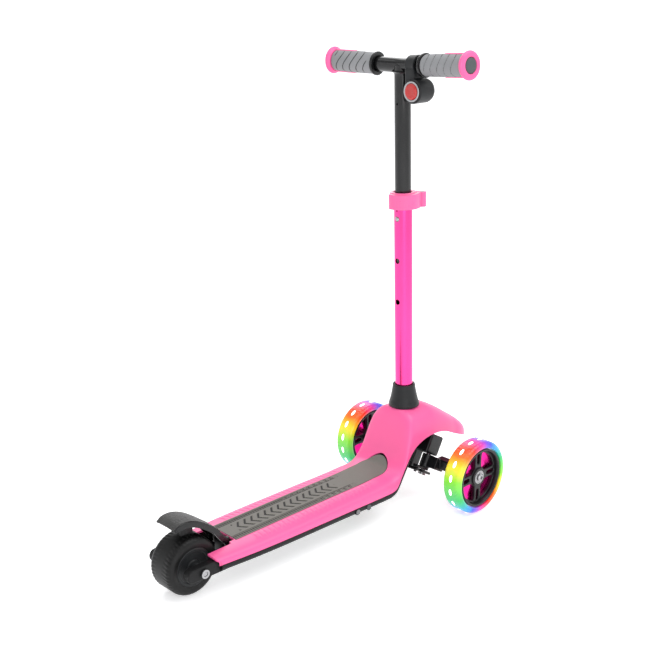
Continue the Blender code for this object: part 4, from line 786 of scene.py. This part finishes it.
def make_fender():
    outline = fender_outline()
    rows = []
    for i, (back, up, flange) in enumerate(outline):
        before, after = outline[max(i - 1, 0)], outline[min(i + 1, len(outline) - 1)]
        tangent = Vector((0, after[0] - before[0], after[1] - before[1])).normalized()
        inward = Vector((0, tangent.z, -tangent.y))
        top = HINGE + Vector((0, back, up))
        half = []
        for k in range(7):
            half.append(Vector((FENDER_HALF_WIDTH + 0.0010 - 0.0005 * k / 6, 0, 0))
                        + inward * (flange - (flange - 0.0022) * k / 6))
        for k in range(1, 7):
            angle = math.pi / 2 * k / 6
            half.append(Vector((FENDER_HALF_WIDTH - 0.0017 + 0.0022 * math.cos(angle), 0, 0))
                        + inward * 0.0022 * (1 - math.sin(angle)))
        for share in (0.8, 0.6, 0.4, 0.2):
            half.append(Vector((FENDER_HALF_WIDTH * share * 0.92, 0, 0))
                        - inward * 0.0008 * (1 - share))
        right = [top + Vector((-p.x, p.y, p.z)) for p in half]
        rows.append([top + p for p in half] + [top - inward * 0.0008] + right[::-1])
    middle = range(11, len(rows[0]) - 12)
    skin = grid(rows, lambda r, c: int(c not in middle))
    skin = apply_modifiers(skin, ("SOLIDIFY", {
        "thickness": FENDER_WALL, "offset": 1.0, "use_quality_normals": True}),
        ("BEVEL", {"width": 0.0005, "segments": 2, "limit_method": "ANGLE"}))
    ears = [rounded_box((0.0050, 0.0076, 0.0170),
                        Matrix.Translation(HINGE + Vector((side * 0.0131, -0.0002, 0.0048))), 0.0012)
            for side in (-1, 1)]
    piece("fender", joined([skin, *ears]), ["fender_skin", "black_gloss"], "brake",
          ["brake_fender"], smooth=38.0)
    size = box_size("brake_block")
    piece("block", rounded_box(size, Matrix.Translation(box_centre("brake_block")), 0.0014),
          "tyre_rubber", "brake", ["brake_block"])


# ---------------------------------------------------------------- wheels

ACROSS = Matrix.Rotation(math.pi / 2, 4, "Y")


def tyre(radius, width, bore, shoulder, sipes, depth, matrix, steps=240):
    """A round-shouldered tread with shallow sipes running round its shoulders."""
    half = width / 2
    outer = []
    for i in range(17):
        angle = math.pi / 2 * i / 16
        outer.append((radius - shoulder + shoulder * math.sin(angle),
                      half - shoulder + shoulder * math.cos(angle)))
    flat = np.linspace(half - shoulder, shoulder - half, 14)[1:-1]
    section = [(bore, half - 0.001), *outer, *((radius, h) for h in flat),
               *((r, -h) for r, h in outer[::-1]), (bore, -half + 0.001)]
    rows = []
    for step in range(steps + 1):
        angle = math.tau * (step % steps) / steps
        row = []
        for r, h in section + section[:1]:
            swing = sipes * angle / math.tau + 40.0 * abs(h)
            groove = 1 - ease(abs(swing % 1.0 - 0.5), 0.10, 0.26)
            band = ease(abs(h), half * 0.30, half * 0.48) * (1 - ease(abs(h), half * 0.8, half * 0.95))
            r = r - depth * groove * band * ease(r, radius - shoulder, radius - shoulder * 0.3)
            row.append(matrix @ Vector((r * math.cos(angle), r * math.sin(angle), h)))
        rows.append(row)
    shape = bmesh.new()
    shape.from_mesh(grid(rows))
    bmesh.ops.remove_doubles(shape, verts=shape.verts[:], dist=0.000005)
    bmesh.ops.recalc_face_normals(shape, faces=shape.faces[:])
    mesh = bpy.data.meshes.new("tyre")
    shape.to_mesh(mesh)
    shape.free()
    return mesh


def make_rear_wheel():
    matrix = Matrix.Translation(REAR_AXLE) @ ACROSS
    tread = tyre(REAR_RADIUS, REAR_WIDTH, 0.0288, 0.0090, 48, 0.0006, matrix)
    piece("rear_tyre_rubber", tread, "tyre_rubber", "rear_wheel", ["rear_tyre"],
          origin=REAR_AXLE)
    half = REAR_WIDTH / 2 - 0.0005
    side = [(0.0285, half), (0.0262, half + 0.0001), (0.0240, half - 0.0002), (0.0232, half - 0.0016),
            (0.0110, half - 0.0012), (0.0100, half + 0.0002), (0.0095, ARM_INNER - 0.0006),
            (0.0043, ARM_INNER - 0.0006)]
    hub = revolve(soft_profile(side + [(r, -h) for r, h in side[::-1]], 0.0007), matrix, 120)
    piece("motor_case", hub, "charcoal_plastic", "rear_wheel", ["hub_motor"], origin=REAR_AXLE)
    seat = ARM_OUTER + GAP
    head = box_size("rear_axle_bolt").z / 2
    bolt = revolve(soft_profile([
        (0.0, seat + 0.0010), (0.0040, seat + 0.0010), (0.0040, -seat), (head, -seat),
        (head, -seat - 0.0038), (0.0036, -seat - 0.0039), (0.0034, -seat - 0.0018),
        (0.0, -seat - 0.0016)], 0.0006), matrix, 96, False)
    piece("rear_bolt", bolt, "steel", "frame", ["rear_axle_bolt"])


def pierced_disc(radius, windows, depth, bevel, matrix):
    """A bevelled round plate with windows through it."""
    rim = [Vector((radius * math.cos(a), radius * math.sin(a)))
           for a in (math.tau * i / 120 for i in range(120))]
    return flat_plate(rim, windows, depth, bevel, matrix)


def flat_plate(rim, windows, depth, bevel, matrix):
    """A bevelled plate of any outline, with windows through it."""
    curve = bpy.data.curves.new("plate", "CURVE")
    curve.dimensions = "2D"
    curve.fill_mode = "BOTH"
    curve.extrude = depth / 2 - bevel
    curve.bevel_depth = bevel
    curve.bevel_resolution = 3
    curve.offset = -bevel
    for loop in [rim, *windows]:
        spline = curve.splines.new("POLY")
        spline.points.add(len(loop) - 1)
        for point, place in zip(spline.points, loop):
            point.co = (place.x, place.y, 0, 1)
        spline.use_cyclic_u = True
    item = bpy.data.objects.new("plate", curve)
    bpy.context.scene.collection.objects.link(item)
    bpy.context.view_layer.update()
    mesh = bpy.data.meshes.new_from_object(item)
    bpy.data.objects.remove(item)
    mesh.transform(matrix)
    return mesh


WHEEL_CORE_RADIUS = 0.0445
RIB_EDGE = 0.0078
RIB_SLOT = 0.0034


def corners_cut(points, rounds, share):
    """A closed outline made rounder by cutting its corners again and again."""
    for _ in range(rounds):
        softer = []
        for a, b in zip(points, points[1:] + points[:1]):
            softer += [a * (1 - share) + b * share, a * share + b * (1 - share)]
        points = softer
    return points


def core_windows():
    """Four wide windows, and four narrow slots that split each spoke into two ribs."""
    windows = []
    inner, outer = 0.0170, 0.0405
    for spoke in range(4):
        base = math.tau * spoke / 4
        points = []
        for radius, order in ((outer, 1), (inner, -1)):
            edge = math.asin(min(0.95, RIB_EDGE / radius))
            first, last = base + edge, base + math.tau / 4 - edge
            if last <= first:
                continue
            angles = np.linspace(first, last, 7)[::order]
            points += [Vector((radius * math.cos(a), radius * math.sin(a))) for a in angles]
        windows.append(corners_cut(points, 3, 0.25))
        narrow = []
        for along, side in ((0.0215, -1), (0.0405, -1), (0.0405, 1), (0.0215, 1)):
            narrow.append(Vector((along, side * RIB_SLOT)))
        turn = Matrix.Rotation(base, 2)
        windows.append([turn @ p for p in corners_cut(narrow, 4, 0.2)])
    return windows


def dash(angle, radius, matrix):
    """A bright oval lamp let into the middle of the tread."""
    shape = bmesh.new()
    bmesh.ops.create_uvsphere(shape, u_segments=24, v_segments=12, radius=1.0)
    size = Matrix.Diagonal((0.0010, 0.0064, 0.0036, 1.0))
    place = Matrix.Rotation(angle, 4, "Z") @ Matrix.Translation((radius - 0.0010, 0, 0)) @ size
    bmesh.ops.transform(shape, matrix=matrix @ place, verts=shape.verts[:])
    mesh = bpy.data.meshes.new("dash")
    shape.to_mesh(mesh)
    shape.free()
    return mesh


def make_front_wheel(side, name):
    body = f"front_wheel_{name}"
    centre = Vector(JOINTS[f"front_wheel_{name}_spin"]["pos_m"])
    matrix = Matrix.Translation(centre) @ Matrix.Rotation(side * math.pi / 2, 4, "Y")
    tread = tyre(FRONT_RADIUS - 0.0003, FRONT_WIDTH, 0.0500, 0.0075, 60, 0.0004, matrix)
    piece(f"lit_tyre_{name}", tread, "lit_tyre", body, [f"front_tyre_{name}"], centre)
    lamps = [dash(math.tau * (i + 0.5) / 16, FRONT_RADIUS, matrix) for i in range(16)]
    piece(f"tread_lamps_{name}", joined(lamps), "lamp", body, origin=centre)
    strip = revolve(soft_profile([(0.0497, 0.009), (0.0497, -0.009), (0.0483, -0.009),
                                  (0.0483, 0.009)], 0.0003), matrix, 120)
    piece(f"lamp_ring_{name}", strip, "light_strip", body, [f"light_ring_{name}"], origin=centre)
    half = 0.0150
    barrel = revolve(soft_profile([
        (0.0482, half), (0.0482, -half), (0.0462, -half - 0.0004), (0.0446, -half), (0.0432, -0.0115),
        (0.0432, 0.0115), (0.0446, half), (0.0462, half + 0.0004)], 0.0006), matrix, 144)
    hub = revolve(soft_profile([
        (0.0113, 0.0110), (0.0150, 0.0110), (0.0158, 0.0082), (0.0158, -0.0082), (0.0150, -0.0110),
        (0.0113, -0.0110)], 0.0006), matrix, 96)
    plates = [pierced_disc(WHEEL_CORE_RADIUS, core_windows(), 0.0062, 0.0012,
                           matrix @ Matrix.Translation((0, 0, face * 0.0054))) for face in (-1, 1)]
    piece(f"core_{name}", joined([barrel, hub, *plates]), "black_casting", body,
          [f"wheel_rim_{name}"], centre, smooth=45.0)
    dished = [(0.0152, 0.0034), (0.0200, 0.0030), (0.0300, 0.0012), (0.0400, 0.0022),
              (0.0432, 0.0030)]
    insert = revolve(dished + [(r, -h) for r, h in dished[::-1]], matrix, 144)
    piece(f"insert_{name}", insert, "insert_pink", body, [f"rim_insert_{name}"],
          centre)
    races = [(0.0110, 0.0114), (0.0096, 0.0114), (0.0090, 0.0106), (0.0078, 0.0106),
             (0.0074, 0.0114), (0.0041, 0.0114)]
    bearing = revolve(soft_profile(races + [(r, -h) for r, h in races[::-1]], 0.0003), matrix, 96)
    piece(f"bearing_{name}", bearing, "steel", body, [f"wheel_bearing_{name}"], origin=centre)


# ---------------------------------------------------------------- stem and handlebar


def round_hole(radius, along):
    """A cutter that goes in from the back of the stem."""
    return revolve([(0.0, 0.03), (radius, 0.03), (radius, 0.0), (0.0, 0.0)],
                   STEM_FRAME @ Matrix.Translation((0, 0, along)) @ FACING_BACK, 48, False)


POP_ALONG = 0.3120
HEIGHT_STEP = 0.0670
CLAMP_FOOT = 0.3275
CLAMP_HEIGHT = 0.0255
BAR_ALONG = (BAR_CENTRE - STEM_FOOT).length


def make_stem():
    top = CLAMP_FOOT + CLAMP_HEIGHT - 0.001
    inner = UPPER_TUBE_RADIUS + GAP
    tube = revolve(soft_profile([
        (LOWER_TUBE_RADIUS, top), (LOWER_TUBE_RADIUS, -0.060), (inner, -0.060), (inner, top),
    ], 0.0005), STEM_FRAME, 144)
    holes = [round_hole(0.0043, POP_ALONG - HEIGHT_STEP * step) for step in range(3)]
    slit = rounded_box((0.0024, 0.012, 0.040), STEM_FRAME @ Matrix.Translation(
        (0, LOWER_TUBE_RADIUS, CLAMP_FOOT + 0.016)), 0.0008)
    tube = without(tube, [*holes, slit])
    piece("pink_tube", tube, "anodised_pink", "frame", ["lower_tube"], smooth=30.0)
    collar = revolve(soft_profile([
        (0.0180, 0.0375), (0.0190, 0.0300), (0.0212, 0.0180), (0.0232, 0.0100), (0.0250, 0.0042),
        (0.0250, GAP), (0.0146, GAP), (0.0146, 0.0375)], 0.0014, 5), STEM_FRAME, 128)
    piece("foot_cone", collar, "charcoal_plastic", "frame", ["stem_collar"])


def swept_bar():
    """The cross bar as one tube, bent softly at its middle."""
    reach = 0.1344
    path = []
    for s in np.linspace(-reach, reach, 121):
        soft = math.sqrt(s * s + 0.012 ** 2) - 0.012 * (1 - abs(s) / reach)
        path.append(BAR_FRAME @ Vector((s, soft * math.tan(BAR_SWEEP), soft * math.tan(BAR_RISE))))
    rows = []
    for i, spot in enumerate(path):
        along = (path[min(i + 1, 120)] - path[max(i - 1, 0)]).normalized()
        up = (BAR_FRAME.to_3x3() @ Vector((0, 0, 1))).cross(along).normalized()
        over = along.cross(up)
        rows.append([spot + BAR_RADIUS * (up * math.cos(a) + over * math.sin(a))
                     for a in (math.tau * k / 64 for k in range(65))])
    return grid(rows)


def make_bar():
    low = POP_ALONG - 0.070 - BAR_ALONG
    inner = UPPER_TUBE_RADIUS - 0.0020
    tube = revolve(soft_profile([
        (0.0100, 0.0040), (UPPER_TUBE_RADIUS, 0.0), (UPPER_TUBE_RADIUS, low), (inner, low),
        (inner, -0.030), (0.0, -0.030)], 0.0005), BAR_FRAME, 128, False)
    holes = [round_hole(0.0043, POP_ALONG), round_hole(0.0017, BAR_ALONG - 0.056)]
    tube = without(tube, holes)
    weld = []
    for k in range(9):
        angle = math.pi / 2 * k / 8
        weld.append((UPPER_TUBE_RADIUS + 0.0042 * (1 - math.sin(angle)),
                     -0.0088 - 0.0052 * (1 - math.cos(angle))))
    fillet = revolve([(0.0060, -0.0040), *weld, (0.0060, -0.0140)], BAR_FRAME, 96)
    piece("t_handlebar", joined([tube, swept_bar(), fillet]), "black_paint", "handlebar",
          ["t_bar"], smooth=32.0)


GRIP_START, GRIP_END = 0.0513, 0.1299
GRIP_RADIUS = 0.0158
GRIP_GROOVE = 0.0007
GRIP_BORE = 0.0114


def grip_groove(angle, along):
    """Curved finger grooves that sweep round the grip, with a plain band at each end."""
    wave = along / 0.0135 + 0.34 * math.sin(2 * angle) + 0.16 * math.sin(angle)
    groove = 1 - ease(abs(wave % 1.0 - 0.5), 0.025, 0.060)
    ends = ease(along, GRIP_START + 0.005, GRIP_START + 0.008)
    ends *= 1 - ease(along, GRIP_END - 0.008, GRIP_END - 0.005)
    return groove * ends


def make_grip(side, name):
    out = Vector((side, math.tan(BAR_SWEEP), math.tan(BAR_RISE))).normalized()
    matrix = BAR_FRAME @ out.to_track_quat("Z", "Y").to_matrix().to_4x4()
    depths, rows = [], []
    for along in np.linspace(GRIP_START, GRIP_END, 210):
        into = min(along - GRIP_START, GRIP_END - along)
        swell = GRIP_RADIUS + 0.0006 * math.sin(math.pi * (along - GRIP_START) / 0.0786)
        swell -= 0.0010 * (1 - ease(into, 0.0, 0.0016))
        turns = [math.tau * k / 96 for k in range(97)]
        depth = [grip_groove(angle, along) for angle in turns]
        depths.append(depth)
        rows.append([matrix @ Vector(((swell - GRIP_GROOVE * d) * math.cos(a),
                                      (swell - GRIP_GROOVE * d) * math.sin(a), along))
                     for a, d in zip(turns, depth)])
    bore = GRIP_BORE
    for along in (GRIP_END, GRIP_START):
        rows.append([matrix @ Vector((bore * math.cos(a), bore * math.sin(a), along))
                     for a in turns])
        depths.append([0.0] * 97)
    # Faces in the finger grooves get the second finish, which is painted shade.
    sleeve = grid(rows, lambda r, c: int(depths[r][c] > 0.5))
    piece(f"grip_sleeve_{name}", sleeve, ["grip_rubber", "groove_painted_shade"], "handlebar",
          [f"grip_{name}"], smooth=50.0)
    collar = revolve(soft_profile([(0.0178, 0.0508), (0.0178, 0.0462), (0.0114, 0.0462),
                                   (0.0114, 0.0508)], 0.0014), matrix, 96)
    piece(f"grip_ring_{name}", collar, "black_gloss", "handlebar", [f"grip_collar_{name}"])
    low, high = GRIP_END + GAP, GRIP_END + GAP + 0.0090
    flange = revolve(soft_profile([
        (0.0120, high), (0.0176, high), (0.0207, high - 0.0022), (0.0204, high - 0.0050),
        (0.0172, low), (0.0114, low), (0.0114, high - 0.0045), (0.0115, high - 0.0045)],
        0.0010, 4), matrix, 128)
    strips = []
    for spin in (0.0, math.pi):
        local = Matrix.Rotation(spin, 4, "Z") @ Matrix.Translation(
            (0, GRIP_RADIUS + 0.0001, GRIP_END - 0.0170))
        strips.append(rounded_box((0.0070, 0.0026, 0.0440), matrix @ local, 0.0010, 4))
    piece(f"flange_{name}", joined([flange, *strips]), "pink_plastic", "handlebar",
          [f"grip_flange_{name}"], smooth=45.0)
    cap = revolve(soft_profile([
        (0.0, high + 0.0006), (0.0080, high + 0.0005), (0.0112, high - 0.0004),
        (0.0112, high - 0.0042), (0.0, high - 0.0042)], 0.0006), matrix, 96, False)
    piece(f"cap_{name}", cap, "cap_rubber", "handlebar", [f"grip_cap_{name}"])


def make_throttle():
    matrix = BAR_FRAME @ Matrix.Translation((-0.0375, 0.0215, -0.0350)) @ FACING_BACK
    soften("throttle_housing", "charcoal_plastic", "handlebar", 0.0005, 5)
    trim = revolve(soft_profile([(0.0150, 0.0016), (0.0150, -0.0110), (0.0121, -0.0110),
                                 (0.0121, 0.0016)], 0.0007), matrix, 128)
    piece("pod_trim", trim, "steel", "handlebar", ["throttle_ring"])
    button = revolve([
        (0.0, 0.0030), (0.0030, 0.0031), (0.0060, 0.0036), (0.0085, 0.0041), (0.0100, 0.0038),
        (0.0112, 0.0028), (0.0118, 0.0014), (0.0118, -0.0070), (0.0, -0.0070)], matrix, 128, False)
    piece("pod_button", button, "red_button", "throttle", ["throttle_button"])


# ---------------------------------------------------------------- the whole scooter

MATERIALS["lit_tyre"] = lit_tyre(0.0)

make_deck()
make_tray()
make_fender()
make_rear_wheel()
for hand, label in ((1, "left"), (-1, "right")):
    make_front_wheel(hand, label)
    make_grip(hand, label)
    soften(f"knuckle_{label}", "black_casting", f"steer_arm_{label}")
make_stem()
make_bar()
make_throttle()
soften("front_frame", "black_casting", "frame", 0.0008)
soften("tie_rod", "black_casting", "tie_link", 0.0005)
soften("clamp_collar", "pink_clamp", "frame", 0.0005)
soften("clamp_lever", "pink_clamp", "quick_lever", 0.0005)

CARRIED = {
    "black_plastic": "black_plastic", "charcoal_plastic": "charcoal_plastic",
    "grey_rubber": "knob_grey", "steel": "steel", "black_rubber": "cap_rubber",
    "battery_wrap": "battery_wrap", "circuit": "circuit", "black_metal": "black_casting",
    "black_frame": "black_casting", "anodised_pink": "anodised_pink",
}


def finish_carried():
    """A worked finish for every CAD piece that is shown as it is."""
    for part in frame["record"]["subparts"]:
        name = part["node"]
        mesh = frame["nodes"][name].data
        look = CARRIED.get(part["material_slot"])
        if look:
            mesh.materials.clear()
            mesh.materials.append(MATERIALS[look])


finish_carried()


# ---------------------------------------------------------------- studio


def make_floor():
    """A pale floor whose far rim turns up, so that it fills the view."""
    mesh = revolve([(0.0, 0.0), (2.0, 0.0), (10.0, 0.0), (50.0, 0.0), (58.0, 2.0), (61.0, 8.0),
                    (62.0, 25.0)], Matrix.Identity(4), 96, closed=False)
    mesh.flip_normals()
    floor = bpy.data.objects.new("floor", mesh)
    bpy.context.scene.collection.objects.link(floor)
    mesh.shade_smooth()
    paper = surface("floor_paper", (0.86, 0.86, 0.87), 0.34, 60.0, 0.02, variation=0.006)
    paper.shader.inputs["Emission Color"].default_value = (1.0, 1.0, 1.0, 1.0)
    paper.shader.inputs["Emission Strength"].default_value = 0.50
    mesh.materials.append(paper.material)


def lamp(name, place, target, size, power, tint=(1.0, 1.0, 1.0)):
    light = bpy.data.lights.new(name, "AREA")
    light.shape = "RECTANGLE"
    light.size, light.size_y = size
    light.energy = power
    light.color = tint
    item = bpy.data.objects.new(name, light)
    item.location = place
    item.rotation_euler = (Vector(target) - Vector(place)).to_track_quat("-Z", "Y").to_euler()
    bpy.context.scene.collection.objects.link(item)


def make_world():
    world = bpy.data.worlds.new("studio")
    bpy.context.scene.world = world
    world.use_nodes = True
    background = world.node_tree.nodes["Background"]
    background.inputs["Color"].default_value = (0.98, 0.99, 1.0, 1.0)
    background.inputs["Strength"].default_value = 0.62


def make_camera():
    camera = bpy.data.cameras.new("camera")
    camera.lens = 58.38
    camera.sensor_width = 36.0
    item = bpy.data.objects.new("camera", camera)
    item.location = (-1.1066, 1.0589, 0.7745)
    item.rotation_euler = Vector((0.6901, -0.6664, -0.2823)).to_track_quat("-Z", "Y").to_euler()
    bpy.context.scene.collection.objects.link(item)
    bpy.context.scene.camera = item
    bpy.context.scene.view_settings.view_transform = "Standard"


make_floor()
make_world()
make_camera()
lamp("key", (-1.2, -0.8, 2.4), (0, 0, 0.2), (1.8, 1.8), 30.0)
lamp("fill", (-2.2, 1.4, 1.3), (0, 0, 0.3), (1.6, 2.0), 15.0)
lamp("back", (1.8, -1.2, 1.8), (0, 0, 0.3), (1.4, 1.8), 16.0)
lamp("top", (0.2, 0.4, 2.8), (0, 0, 0), (2.4, 2.4), 20.0)
